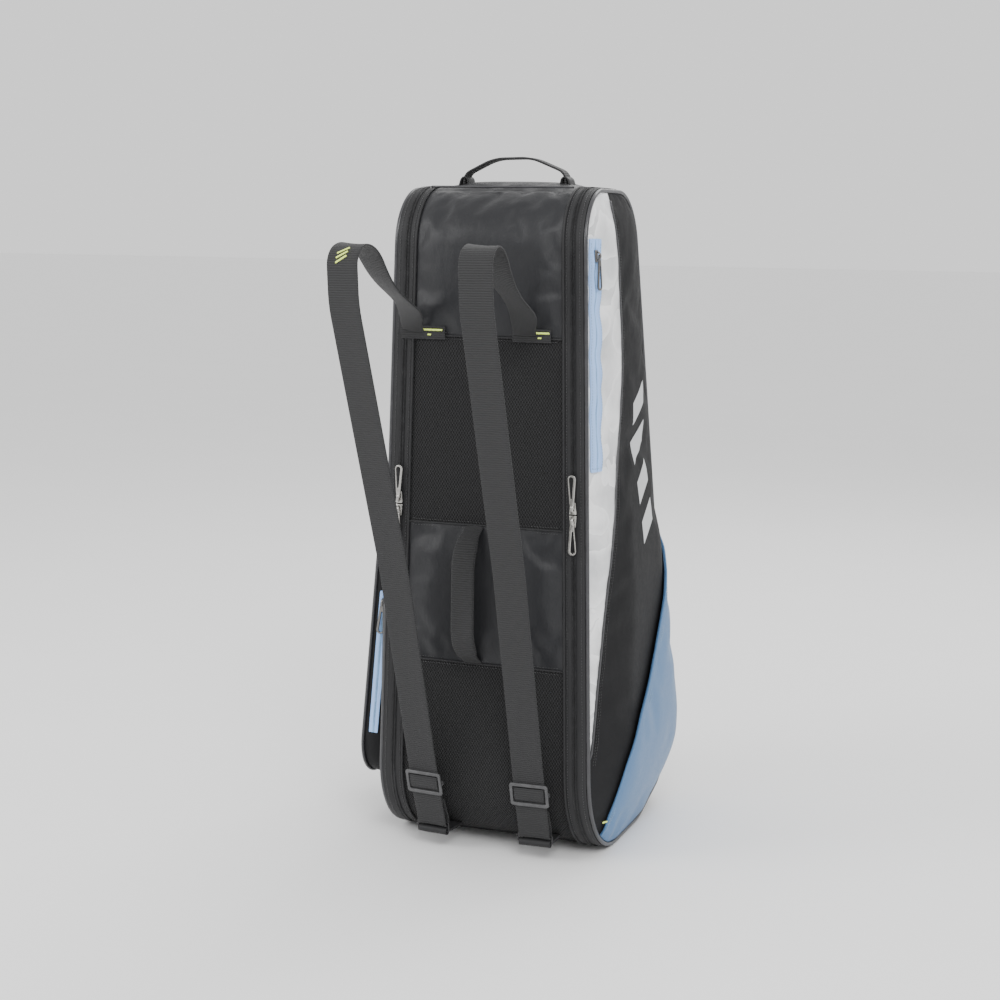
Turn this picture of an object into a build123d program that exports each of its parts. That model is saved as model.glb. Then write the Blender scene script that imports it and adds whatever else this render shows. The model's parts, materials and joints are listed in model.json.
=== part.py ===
from build123d import *
import os
from math import atan2, degrees

os.makedirs("parts", exist_ok=True)

# All sizes are in millimetres. The bag stands on its flat base, strap side towards -Y.
# A place is given as a depth behind the strap panel and a height over the floor.

# Side outline
bag_height = 779.0
top_depth = 189.0
foot_depth = 351.0
foot_height = 40.0
heel_depth = 200.0
base_centre_depth = 150.0
back_bottom_radius = 105.0
back_top_radius = 65.0
front_top_radius = 75.0
front_foot_radius = 80.0
heel_radius = 120.0

# Half widths at the floor and at the top
panel_edge = (103.5, 86.5)
shell_edge = (130.0, 109.5)
side_bulge_radius = 620.0
side_low_knee = 0.2
side_high_knee = 0.9
side_knee_radius = 1.1

# Cloth
shell_wall = 3.0
lining_wall = 1.0
side_wall = 3.5
cloth_gap = 0.3
piping_radius = 2.4
reach = 300.0
far = 500.0
outline_tail = 5.0
slab_overrun = 0.1

# Seams across the strap panel and the front
panel_wrap_depth = 40.0
mesh_top_height = 610.0
grab_top_height = 393.0
grab_bottom_height = 230.0
front_top_height = 705.0
front_bottom_height = 120.0
front_zone_depth = 120.0
door_end_gap = 4.0

# Inner pieces
board_thickness = 3.0
board_inset = 12.0
divider_thickness = 6.0
side_lining_inset = 12.0

# Zips
zip_gap = 0.3
coil_width = 2.0
coil_rise = 0.8
slider_meeting_height = 413.0
slider_length = 14.0
slider_width = 9.0
slider_thickness = 3.0
ear_height = 3.4
ear_thickness = 1.2
ear_gap = 4.4
pin_radius = 0.8
pull_length = 38.0
pull_tip_radius = 4.6
pull_neck_radius = 2.0
pull_rim = 1.7
pull_thickness = 1.6
pin_clearance = 0.3

# Side pockets
seam_gap = 0.4
side_zip_width = 21.0
side_zip_back_depth = 7.0
side_zip_bottom = 461.0
side_zip_top = 717.0
side_slider_stand_off = 2.0
pocket_layer = 3.0

# Seam of the silver panel and hem of the front pocket, as depth and height
silver_seam = [
    (82.0, 799.0),
    (85.0, 702.0),
    (98.0, 585.0),
    (86.0, 504.0),
    (60.0, 430.0),
    (34.0, 341.0),
    (17.0, 224.0),
    (6.0, 130.0),
    (-16.0, 20.0),
]
pocket_hem = [
    (36.0, -20.0),
    (42.0, 44.0),
    (57.0, 110.0),
    (95.0, 162.0),
    (134.0, 200.0),
    (196.0, 280.0),
    (236.0, 346.0),
    (300.0, 445.0),
]

# Accessory pocket
case_edge = (178.0, 112.0)
case_pocket_back = 34.0
case_pocket_bottom = 64.0
case_pocket_top = 454.0
case_pocket_front_inset = 26.0
case_pocket_radius = 54.0
case_wall = 3.0
case_piping_radius = 2.0
case_zip_inset = 6.0
case_zip_width = 12.0
case_zip_bottom = 124.0
case_zip_top = 300.0

# Webbing and hardware
webbing_width = 38.0
webbing_thickness = 2.0
strap_anchor_height = 612.0
strap_pivot_depth = -6.0
strap_end_depth = -6.0
strap_end_rise = 3.5
anchor_patch_height = 26.0
anchor_patch_margin = 4.0
anchor_patch_thickness = 2.5
ring_bar_radius = 1.75
ring_side_gap = 2.0
ring_span = 16.0
ring_depth = 4.0
ring_height = 22.0
fold_clearance = 1.0
fold_corner_share = 0.98
adjuster_height = 86.0
adjuster_length = 26.0
adjuster_bar = 5.0
adjuster_side_bar = 4.0
adjuster_plate = 2.0
tab_thickness = 3.0
tab_length = 46.0

# Straps: anchor x, ring x and swing at rest, by side
strap_anchor_x = {"left": -70.0, "right": 58.0}
strap_ring_x = {"left": -64.0, "right": 66.0}
strap_swing = {"left": -7.5, "right": 0.0}

# Path of the strap, as depth, height and corner radius
strap_route = [
    (-16.0, 621.3, 0.0),
    (-100.0, 669.0, 90.0),
    (-140.0, 715.0, 48.0),
    (-188.0, 712.0, 20.0),
    (-184.0, 650.0, 120.0),
    (-86.0, 355.0, 400.0),
    (-12.0, 72.0, 0.0),
]

# Handles
top_handle_depth = 90.0
top_handle_half_span = 63.0
top_handle_rise = 34.0
top_handle_width = 20.0
top_handle_thickness = 2.5
top_handle_free_height = 16.0
handle_pivot_rise = 4.0
handle_end_gap = 2.0
grab_handle_x = -13.0
grab_handle_width = 26.0
grab_handle_thickness = 7.0
grab_handle_bow = 36.0
grab_handle_free_depth = 20.0
grab_handle_end_inset = 1.0
grab_handle_knee_step = 12.0
grab_handle_bow_step = 34.0
grab_handle_bend = 24.0
grab_webbing_width = 22.0
bar_tack_size = (12.0, 1.2, 3.0)


def along(line, height):
    """The value of a tapering edge at a height."""
    return line[0] + (line[1] - line[0]) * height / bag_height


def shifted(line, amount):
    return (line[0] + amount, line[1] + amount)


def opposite(line):
    return (-line[0], -line[1])


def bulge(chord):
    """How far the rounded side stands out over a flat chord."""
    return side_bulge_radius - (side_bulge_radius**2 - chord**2 / 4) ** 0.5


zip_line = tuple((a + b) / 2 for a, b in zip(panel_edge, shell_edge))
crown_edge = (
    shell_edge[0] + side_wall + bulge(foot_depth),
    shell_edge[1] + side_wall + bulge(top_depth),
)
back_y = -base_centre_depth


def front_depth(height):
    """Depth of the straight front edge at a height."""
    slope = (foot_depth - top_depth) / (bag_height - foot_height)
    return foot_depth - slope * (height - foot_height)


def flat(depth, height):
    return (back_y + depth, height)


# Outline, prisms and cutting shapes


def outline_face():
    corners = [
        (0.0, 0.0, back_bottom_radius),
        (0.0, bag_height, back_top_radius),
        (top_depth, bag_height, front_top_radius),
        (foot_depth, foot_height, front_foot_radius),
        (heel_depth, 0.0, heel_radius),
    ]
    path = FilletPolyline(
        *[flat(depth, height) for depth, height, _ in corners],
        radius=[radius for _, _, radius in corners],
        close=True,
    )
    return make_face(path)


bag_outline = outline_face()


def inset_face(inset):
    return offset(bag_outline, amount=-inset) if inset else bag_outline


def prism(inset):
    return extrude(Plane.YZ * inset_face(inset), amount=reach, both=True)


def band(outer_inset, inner_inset):
    """A loop of cloth that follows the outline."""
    return prism(outer_inset) - prism(inner_inset)


def slab(inner_edge, outer_edge):
    """Everything between two tapering edges."""
    low, high = -slab_overrun * bag_height, (1 + slab_overrun) * bag_height
    corners = [
        (along(inner_edge, low), low),
        (along(outer_edge, low), low),
        (along(outer_edge, high), high),
        (along(inner_edge, high), high),
    ]
    face = make_face(Polyline(*corners, close=True))
    return extrude(Plane.XZ * face, amount=2 * reach, both=True)


def zone(depth_from, depth_to, height_from, height_to):
    """A block right across the bag."""
    size = (depth_to - depth_from, height_to - height_from)
    middle = flat((depth_from + depth_to) / 2, (height_from + height_to) / 2)
    return Pos(0, *middle) * Box(4 * reach, *size)


def region(path):
    """A prism across the bag from a closed path of depth and height."""
    return extrude(Plane.YZ * make_face(path), amount=reach, both=True)


def mirrored(piece):
    return mirror(piece, about=Plane.YZ)


front_zone = zone(front_zone_depth, far, front_bottom_height, front_top_height)
centre = slab(opposite(panel_edge), panel_edge)


# Centre section


def centre_panels():
    skin = band(0, shell_wall) & centre
    front_edge = shifted(shell_edge, -cloth_gap)
    wide = slab(opposite(front_edge), front_edge)
    wrap = panel_wrap_depth
    behind = zone(wrap, far, -far, 2 * far) - front_zone
    return {
        "back_top_panel": skin & zone(-far, wrap, mesh_top_height, 2 * far),
        "back_upper_mesh": skin & zone(-far, wrap, grab_top_height, mesh_top_height),
        "back_grab_panel": skin & zone(-far, wrap, grab_bottom_height, grab_top_height),
        "back_lower_mesh": skin & zone(-far, wrap, -far, grab_bottom_height),
        "top_gusset": skin & behind & zone(-far, far, bag_height / 2, 2 * far),
        "bottom_gusset": skin & behind & zone(-far, far, -far, bag_height / 2),
        "front_gusset": band(0, shell_wall) & wide & front_zone,
    }


def floor_zone():
    """Where the stiff board lies, over the flat of the base."""
    return zone(back_bottom_radius, heel_depth + front_foot_radius / 2, -far, foot_height)


def core_lining():
    inner = shell_wall + lining_wall
    return band(shell_wall, inner) & centre


def base_board():
    top = shell_wall + lining_wall
    edge = shifted(panel_edge, -board_inset)
    return band(top, top + board_thickness) & slab(opposite(edge), edge) & floor_zone()


def centre_divider():
    inset = shell_wall + lining_wall + cloth_gap
    plate = extrude(Plane.YZ * inset_face(inset), amount=divider_thickness / 2, both=True)
    under_board = shell_wall + lining_wall + board_thickness + cloth_gap
    return plate - (band(0, under_board) & floor_zone())


def zip_tapes():
    tape = band(0, shell_wall) - front_zone
    coil = band(-coil_rise, 0) - front_zone
    inner = tape & slab(panel_edge, shifted(zip_line, -zip_gap))
    inner_coil = coil & slab(shifted(zip_line, -zip_gap - coil_width), shifted(zip_line, -zip_gap))
    outer = tape & slab(shifted(zip_line, zip_gap), shell_edge)
    outer_coil = coil & slab(shifted(zip_line, zip_gap), shifted(zip_line, zip_gap + coil_width))
    opening_front = zone(
        front_zone_depth, far, front_bottom_height - door_end_gap, front_top_height + door_end_gap
    )
    return inner + inner_coil, outer + outer_coil - opening_front


# Side walls, which open as doors about the front edge


def bulge_cylinder(proud):
    """The rounded side face, moved outwards by an amount."""
    low = (along(crown_edge, 0) + proud, back_y + foot_depth / 2, 0)
    high = (along(crown_edge, bag_height) + proud, back_y + top_depth / 2, bag_height)
    direction = Vector(*high) - Vector(*low)
    centre_point = Vector(*low) - Vector(side_bulge_radius, 0, 0)
    frame = Plane(origin=centre_point, z_dir=direction)
    return frame * Cylinder(side_bulge_radius, 4 * bag_height)


def bulge_outline(proud):
    """Front view of the side: it pulls in at the floor and at the top."""
    low_knee, high_knee = side_low_knee * bag_height, side_high_knee * bag_height
    knee_radius = side_knee_radius * bag_height
    foot, top = shifted(shell_edge, proud + side_wall)
    floor_z, top_z = -outline_tail, bag_height + outline_tail
    corners = [
        (0, floor_z, 0),
        (foot, floor_z, 0),
        (along(crown_edge, low_knee) + proud, low_knee, knee_radius),
        (along(crown_edge, high_knee) + proud, high_knee, knee_radius),
        (top, top_z, 0),
        (0, top_z, 0),
    ]
    path = FilletPolyline(
        *[(x, z) for x, z, _ in corners], radius=[r for _, _, r in corners], close=True
    )
    return extrude(Plane.XZ * make_face(path), amount=2 * reach, both=True)


def side_body(proud):
    return bulge_cylinder(proud) & bulge_outline(proud)


def silver_region():
    """Along the back edge, wide at the shoulder and narrowing to the foot."""
    seam = [flat(*spot) for spot in silver_seam]
    outside = flat(-outline_tail - panel_wrap_depth, 0)[0]
    back = Polyline(seam[-1], (outside, seam[-1][1]), (outside, seam[0][1]), seam[0])
    return region(Wire([Spline(*seam).edge(), *back.edges()]))


def front_pocket_region():
    """The lower front corner under a sweeping hem."""
    hem = [flat(*spot) for spot in pocket_hem]
    outside = flat(far, 0)[0]
    rest = Polyline(hem[-1], (outside, hem[-1][1]), (outside, hem[0][1]), hem[0])
    return region(Wire([Spline(*hem).edge(), *rest.edges()]))


def side_zip_region(grow=0.0):
    width = side_zip_width + 2 * grow
    height = side_zip_top - side_zip_bottom + 2 * grow
    middle = flat(
        side_zip_back_depth + side_zip_width / 2, (side_zip_top + side_zip_bottom) / 2
    )
    face = Pos(*middle) * RectangleRounded(width, height, side_zip_width / 8)
    return extrude(Plane.YZ * face, amount=reach, both=True)


side_rim = 2 * piping_radius + 2 * cloth_gap


def side_shell():
    outside = slab(shifted(shell_edge, cloth_gap), shifted(shell_edge, reach / 2))
    solid = prism(side_rim) & side_body(0) & outside
    hollow = prism(side_rim + side_wall) & side_body(-side_wall)
    return solid - hollow


def side_layer(area, low, high):
    """Cloth laid on the side wall between two heights over it."""
    return (prism(side_rim) & side_body(high) & area) - side_body(low)


def side_plane():
    """The plane of the side's edge, for what runs round it."""
    lean = Vector(shell_edge[1] - shell_edge[0], 0, bag_height)
    away = Vector(lean.Z, 0, -lean.X)
    start = shell_edge[0] + cloth_gap + piping_radius
    return Plane(origin=(start, 0, 0), x_dir=(0, 1, 0), z_dir=away)


def side_piping():
    wire = side_plane() * inset_face(piping_radius + cloth_gap / 3).wire()
    start = wire @ 0
    section = Plane(origin=start, z_dir=wire % 0) * Circle(piping_radius)
    return sweep(section, path=wire)


def side_lining():
    inner, outer = shifted(shell_edge, -lining_wall - cloth_gap), shifted(shell_edge, -cloth_gap)
    return prism(side_lining_inset) & slab(inner, outer)


def case_pocket_face(inset):
    """Outline of the accessory pocket, seen from the side."""
    corners = [
        (case_pocket_back, case_pocket_bottom),
        (case_pocket_back, case_pocket_top),
        (front_depth(case_pocket_top) - case_pocket_front_inset, case_pocket_top),
        (front_depth(case_pocket_bottom) - case_pocket_front_inset, case_pocket_bottom),
    ]
    path = FilletPolyline(
        *[flat(depth, height) for depth, height in corners],
        radius=case_pocket_radius,
        close=True,
    )
    face = make_face(path)
    return offset(face, amount=-inset) if inset else face


def case_prism(inset):
    return extrude(Plane.YZ * case_pocket_face(inset), amount=reach, both=True)


def case_zip_zone():
    return zone(-far, case_pocket_back + case_wall, case_zip_bottom, case_zip_top)


def case_pocket():
    """Accessory pocket on the left door: wall, face, zip and piping, built on the right."""
    outer = slab(shell_edge, case_edge)
    wall = (case_prism(0) - case_prism(case_wall)) & outer
    wall = wall - side_body(cloth_gap)
    zip_low = shifted(case_edge, -case_zip_inset - case_zip_width)
    zip_high = shifted(case_edge, -case_zip_inset)
    zip_slot = case_zip_zone() & slab(zip_low, zip_high)
    tape = wall & zip_slot
    face = case_prism(0) & slab(case_edge, shifted(case_edge, case_wall))
    rim = (case_prism(-2 * case_piping_radius) - case_prism(0)) & slab(
        shifted(case_edge, case_wall - 2 * case_piping_radius), shifted(case_edge, case_wall)
    )
    return {
        "left_pocket_gusset": mirrored(wall - zip_slot),
        "left_pocket_zip": mirrored(tape),
        "left_pocket_face": mirrored(face),
        "left_pocket_piping": mirrored(rim),
    }


def right_door():
    silver = silver_region()
    shell = side_shell()
    strip = side_zip_region()
    layer = side_layer(front_pocket_region(), cloth_gap, cloth_gap + pocket_layer)
    _, outer_tape = tapes
    return {
        "right_side_panel": shell - silver,
        "right_silver_panel": (shell & silver) - side_zip_region(seam_gap),
        "right_pocket_zip": shell & strip,
        "right_front_pocket": layer,
        "right_outer_zip_tape": outer_tape,
        "right_piping": side_piping(),
        "right_lining": side_lining(),
    }


def left_door():
    silver = silver_region()
    shell = side_shell()
    _, outer_tape = tapes
    return {
        "left_side_panel": mirrored(shell - silver),
        "left_silver_panel": mirrored(shell & silver),
        "left_outer_zip_tape": mirrored(outer_tape),
        "left_piping": mirrored(side_piping()),
        "left_lining": mirrored(side_lining()),
        **case_pocket(),
    }


# Zip sliders and pulls, made at the origin: zip along Z, outwards along -Y


def slider_at_origin():
    body = Box(slider_width, slider_thickness, slider_length)
    body = fillet(body.edges().filter_by(Axis.Y), slider_width / 4)
    body = Pos(0, -slider_thickness / 2, 0) * body
    ear_x = ear_gap / 2 + ear_thickness / 2
    ear = Box(ear_thickness, ear_height, 2 * pull_neck_radius)
    for side in (-1, 1):
        body += Pos(side * ear_x, -slider_thickness - ear_height / 2, 0) * ear
    pin = Pos(0, pin_offset(), 0) * Rot(0, 90, 0) * Cylinder(pin_radius, ear_gap)
    return body + pin


def pin_offset():
    return -slider_thickness - ear_height + 1.5 * pin_radius


def pull_at_origin():
    """Teardrop loop that hangs up or down from the slider's pin."""
    eye_width = ear_gap - 2 * pin_clearance
    eye = Rot(0, 90, 0) * Cylinder(pull_neck_radius, eye_width)
    neck_z = pull_neck_radius + pull_rim
    tip_z = pull_length - pull_tip_radius
    shape = make_hull(
        [
            *(Pos(0, neck_z) * Circle(eye_width / 2)).edges(),
            *(Pos(0, tip_z) * Circle(pull_tip_radius)).edges(),
        ]
    )
    hole = make_hull(
        [
            *(Pos(0, neck_z + 3 * pull_rim) * Circle(pull_rim / 2)).edges(),
            *(Pos(0, tip_z) * Circle(pull_tip_radius - pull_rim)).edges(),
        ]
    )
    plate = extrude(Plane.XZ * (shape - hole), amount=pull_thickness / 2, both=True)
    neck = Pos(0, 0, neck_z / 2) * Box(eye_width, pull_thickness, neck_z)
    bore = Rot(0, 90, 0) * Cylinder(pin_radius + pin_clearance, 2 * eye_width)
    return Pos(0, pin_offset(), 0) * (plate + neck + eye - bore)


def main_slider_place(side, upper):
    """On the zip of one side, above or below where the two sliders meet."""
    step = slider_length / 2 + seam_gap
    height = slider_meeting_height + (step if upper else -step)
    lean = degrees(atan2(zip_line[1] - zip_line[0], bag_height))
    sign = 1 if side == "right" else -1
    stand_off = back_y - coil_rise - cloth_gap
    turn = Rot(0, sign * lean, 0)
    return Pos(sign * along(zip_line, height), stand_off, height) * turn


def main_sliders():
    made = {}
    for side in ("left", "right"):
        for level in ("upper", "lower"):
            place = main_slider_place(side, level == "upper")
            flip = Rot(0, 0 if level == "upper" else 180, 0)
            made[f"{side}_{level}_slider"] = place * flip * slider_at_origin()
            made[f"{side}_{level}_pull"] = place * flip * pull_at_origin()
    return made


def side_face_x(depth, height):
    """How far out the rounded side is at a depth and height."""
    share = height / bag_height
    middle = (foot_depth + (top_depth - foot_depth) * share) / 2
    sag = side_bulge_radius - (side_bulge_radius**2 - (depth - middle) ** 2) ** 0.5
    return along(crown_edge, height) - sag


side_slider_depth = side_zip_back_depth + side_zip_width / 2
side_slider_height = side_zip_top - slider_length
case_slider_height = case_zip_top - slider_length


def side_slider_place():
    """On the right pocket zip; outwards is +X there."""
    low = side_face_x(side_slider_depth, side_zip_bottom)
    high = side_face_x(side_slider_depth, side_zip_top)
    lean = degrees(atan2(high - low, side_zip_top - side_zip_bottom))
    x = side_face_x(side_slider_depth, side_slider_height) + side_slider_stand_off
    y = back_y + side_slider_depth
    return Pos(x, y, side_slider_height) * Rot(0, lean, 0) * Rot(0, 0, 90)


def case_slider_place():
    """On the accessory pocket's zip, which faces the strap side."""
    lean = degrees(atan2(case_edge[1] - case_edge[0], bag_height))
    x = case_zip_inset + case_zip_width / 2 - along(case_edge, case_slider_height)
    y = back_y + case_pocket_back - cloth_gap
    return Pos(x, y, case_slider_height) * Rot(0, -lean, 0)


def pocket_sliders():
    hang = Rot(0, 180, 0)
    return {
        "right_pocket_slider": side_slider_place() * hang * slider_at_origin(),
        "right_pocket_pull": side_slider_place() * hang * pull_at_origin(),
        "left_pocket_slider": case_slider_place() * hang * slider_at_origin(),
        "left_pocket_pull": case_slider_place() * hang * pull_at_origin(),
    }


# Shoulder straps, made in a plane through the two ends and then leaned and swung


def local(depth, height):
    """Depth and height in the strap's own plane, from the pivot line at the anchor."""
    return (depth - strap_pivot_depth, height - strap_anchor_height)


def ribbon(points, radii, width, thickness):
    """Webbing that follows a path of straight runs and arcs in the YZ plane."""
    spots = [(0, y, z) for y, z in points]
    path = Line(*spots) if len(spots) == 2 else FilletPolyline(*spots, radius=radii)
    section = Plane(origin=path @ 0, x_dir=(1, 0, 0), z_dir=path % 0) * Rectangle(width, thickness)
    return sweep(section, path=path)


def strap_place(side):
    anchor = (strap_anchor_x[side], back_y + strap_pivot_depth, strap_anchor_height)
    drop = strap_anchor_height - ring_height
    lean = degrees(atan2(strap_anchor_x[side] - strap_ring_x[side], drop))
    return Pos(*anchor) * Rot(0, lean, 0) * Rot(0, 0, strap_swing[side])


def strap_webbing():
    points = [local(depth, height) for depth, height, _ in strap_route]
    radii = [radius for _, _, radius in strap_route]
    return ribbon(points, radii[1:-1], webbing_width, webbing_thickness)


def strap_end():
    """The short run from the sewn patch to where the strap swings free."""
    start = local(strap_end_depth, strap_anchor_height + strap_end_rise)
    stop = local(strap_route[0][0] + cloth_gap, strap_route[0][1] - cloth_gap / 2)
    return ribbon([start, stop], 0, webbing_width, webbing_thickness)


def run_direction():
    high, low = strap_route[-2], strap_route[-1]
    step = Vector(0, high[0] - low[0], high[1] - low[1])
    return step.normalized()


def adjuster_middle():
    low = strap_route[-1]
    start = Vector(0, *local(low[0], low[1]))
    return start + run_direction() * ((adjuster_height - low[1]) / run_direction().Z)


def adjuster():
    """Three-bar slide: outer bars in front of the webbing, the middle bar behind it."""
    width = webbing_width + 2 * adjuster_side_bar + 2 * seam_gap
    side_x = width / 2 - adjuster_side_bar / 2
    lift = webbing_thickness / 2 + seam_gap
    frame_y = -lift - adjuster_plate / 2
    deep = 2 * lift + 2 * adjuster_plate
    body = Pos(0, frame_y, 0) * Box(width, adjuster_plate, adjuster_length)
    window = Box(width - 2 * adjuster_side_bar, 4 * adjuster_plate, adjuster_length - 2 * adjuster_bar)
    body -= Pos(0, frame_y, 0) * window
    for side in (-1, 1):
        body += Pos(side * side_x, 0, 0) * Box(adjuster_side_bar, deep, adjuster_bar)
    body += Pos(0, -frame_y, 0) * Box(width, adjuster_plate, adjuster_bar)
    direction = run_direction()
    frame = Plane(origin=adjuster_middle(), x_dir=(1, 0, 0), z_dir=direction)
    return frame * body


def ring_frame():
    """Rectangular wire ring that stands on the tab's loop."""
    inner = webbing_width + 2 * ring_side_gap
    wire = 2 * ring_bar_radius
    outer_face = RectangleRounded(inner + 2 * wire, ring_span + wire, wire)
    inner_face = RectangleRounded(inner, ring_span - wire, ring_bar_radius / 2)
    frame = extrude(Plane.XZ * (outer_face - inner_face), amount=ring_bar_radius, both=True)
    return Pos(0, 0, ring_span / 2) * frame


def ring_place(side):
    return strap_place(side) * Pos(0, *local(ring_depth, ring_height))


def strap_fold():
    """Doubled webbing from the adjuster round the ring's upper bar."""
    loop = ring_bar_radius + fold_clearance + webbing_thickness / 2
    bar = local(ring_depth, ring_height + ring_span)
    front_top = local(strap_route[-1][0], strap_route[-1][1] - cloth_gap)
    back_top = (front_top[0] + 2 * loop, front_top[1])
    bend = 2 * loop
    points = [
        front_top,
        (bar[0] - loop, bar[1] + loop),
        (bar[0] - loop, bar[1] - loop),
        (bar[0] + loop, bar[1] - loop),
        (bar[0] + loop, bar[1] + loop),
        back_top,
    ]
    corner = fold_corner_share * loop
    radii = [bend, corner, corner, bend]
    return ribbon(points, radii, webbing_width, webbing_thickness)


def ring_tab():
    """Webbing loop sewn under the rounded corner, round the ring's lower bar."""
    inner = ring_bar_radius + fold_clearance
    eye = Cylinder(inner + tab_thickness / 2, webbing_width) - Cylinder(inner, 2 * webbing_width)
    strip = Pos(0, tab_length / 2 + inner, 0) * Box(webbing_width, tab_length, tab_thickness)
    tab = Rot(0, 90, 0) * eye + strip
    tab -= Rot(0, 90, 0) * Cylinder(inner, 2 * webbing_width)
    return tab


def strap_pieces():
    made = {}
    anchors = []
    tabs = []
    hull = prism(0)
    for side in ("left", "right"):
        place = strap_place(side)
        made[f"{side}_shoulder_strap"] = place * strap_webbing()
        made[f"{side}_strap_end"] = place * strap_end()
        made[f"{side}_adjuster"] = place * adjuster()
        made[f"{side}_strap_ring"] = ring_place(side) * ring_frame()
        made[f"{side}_strap_fold"] = place * strap_fold()
        patch_width = webbing_width + anchor_patch_margin
        patch = Box(patch_width, anchor_patch_thickness, anchor_patch_height)
        patch_y = back_y - anchor_patch_thickness / 2
        anchors.append(Pos(strap_anchor_x[side], patch_y, strap_anchor_height) * patch)
        tabs.append((ring_place(side) * ring_tab()) - hull)
    made["strap_anchors"] = Compound(children=anchors)
    made["ring_tabs"] = Compound(children=tabs)
    return made


# Handles


def top_handle():
    """Arch of webbing over the top; it leans about the line through its two feet."""
    half, rise = top_handle_half_span, top_handle_rise
    knee = half - rise / 2
    points = [
        (-half, top_handle_free_height),
        (-knee, rise - top_handle_thickness / 2),
        (knee, rise - top_handle_thickness / 2),
        (half, top_handle_free_height),
    ]
    path = FilletPolyline(*[(x, 0, z) for x, z in points], radius=rise / 2)
    section = Plane(origin=path @ 0, x_dir=(0, 1, 0), z_dir=path % 0)
    arch = sweep(section * Rectangle(top_handle_width, top_handle_thickness), path=path)
    return Pos(0, back_y + top_handle_depth, bag_height) * arch


def top_handle_ends():
    """The sewn feet of the top handle."""
    height = top_handle_free_height - handle_end_gap
    foot = Box(top_handle_thickness, top_handle_width, height)
    rise = bag_height + height / 2
    feet = [
        Pos(side * top_handle_half_span, back_y + top_handle_depth, rise) * foot
        for side in (-1, 1)
    ]
    return Compound(children=feet)


def grab_route():
    """Depth and height from the upper seam, out along the bow and back to the lower seam."""
    top = grab_top_height - grab_handle_end_inset
    bottom = grab_bottom_height + grab_handle_end_inset
    return [
        (0, top),
        (-grab_handle_free_depth, top - grab_handle_knee_step),
        (-grab_handle_bow, top - grab_handle_bow_step),
        (-grab_handle_bow, bottom + grab_handle_bow_step),
        (-grab_handle_free_depth, bottom + grab_handle_knee_step),
        (0, bottom),
    ]


def grab_handle():
    points = [(back_y + depth, height) for depth, height in grab_route()[1:-1]]
    bowed = ribbon(points, grab_handle_bend, grab_handle_width, grab_handle_thickness)
    return Pos(grab_handle_x, 0, 0) * bowed


def grab_handle_ends():
    ends = []
    route = grab_route()
    for near, far_point in ((route[0], route[1]), (route[5], route[4])):
        start = (back_y + near[0] - cloth_gap, near[1])
        stop = (back_y + far_point[0] + 2 * handle_end_gap, far_point[1])
        piece = ribbon([start, stop], 0, grab_webbing_width, webbing_thickness)
        ends.append((Pos(grab_handle_x, 0, 0) * piece) - prism(0))
    return Compound(children=ends)


def bar_tacks():
    """Dense rows of stitches across the two strap patches."""
    tacks = []
    size_x, size_y, size_z = bar_tack_size
    y = back_y - anchor_patch_thickness - size_y / 2
    for side in ("left", "right"):
        for step in (-1, 1):
            x = strap_anchor_x[side] + step * webbing_width / 3
            place = Pos(x, y, strap_anchor_height - anchor_patch_height / 3)
            tacks.append(place * Box(size_x, size_y, size_z))
    return Compound(children=tacks)


tapes = zip_tapes()
nodes = {
    **centre_panels(),
    "core_lining": core_lining(),
    "base_board": base_board(),
    "centre_divider": centre_divider(),
    "right_inner_zip_tape": tapes[0],
    "left_inner_zip_tape": mirrored(tapes[0]),
    **right_door(),
    **left_door(),
    **main_sliders(),
    **pocket_sliders(),
    **strap_pieces(),
    "top_handle": top_handle(),
    "top_handle_ends": top_handle_ends(),
    "grab_handle": grab_handle(),
    "grab_handle_ends": grab_handle_ends(),
    "bar_tacks": bar_tacks(),
}

for name, piece in nodes.items():
    export_step(piece, f"parts/{name}.step")
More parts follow.
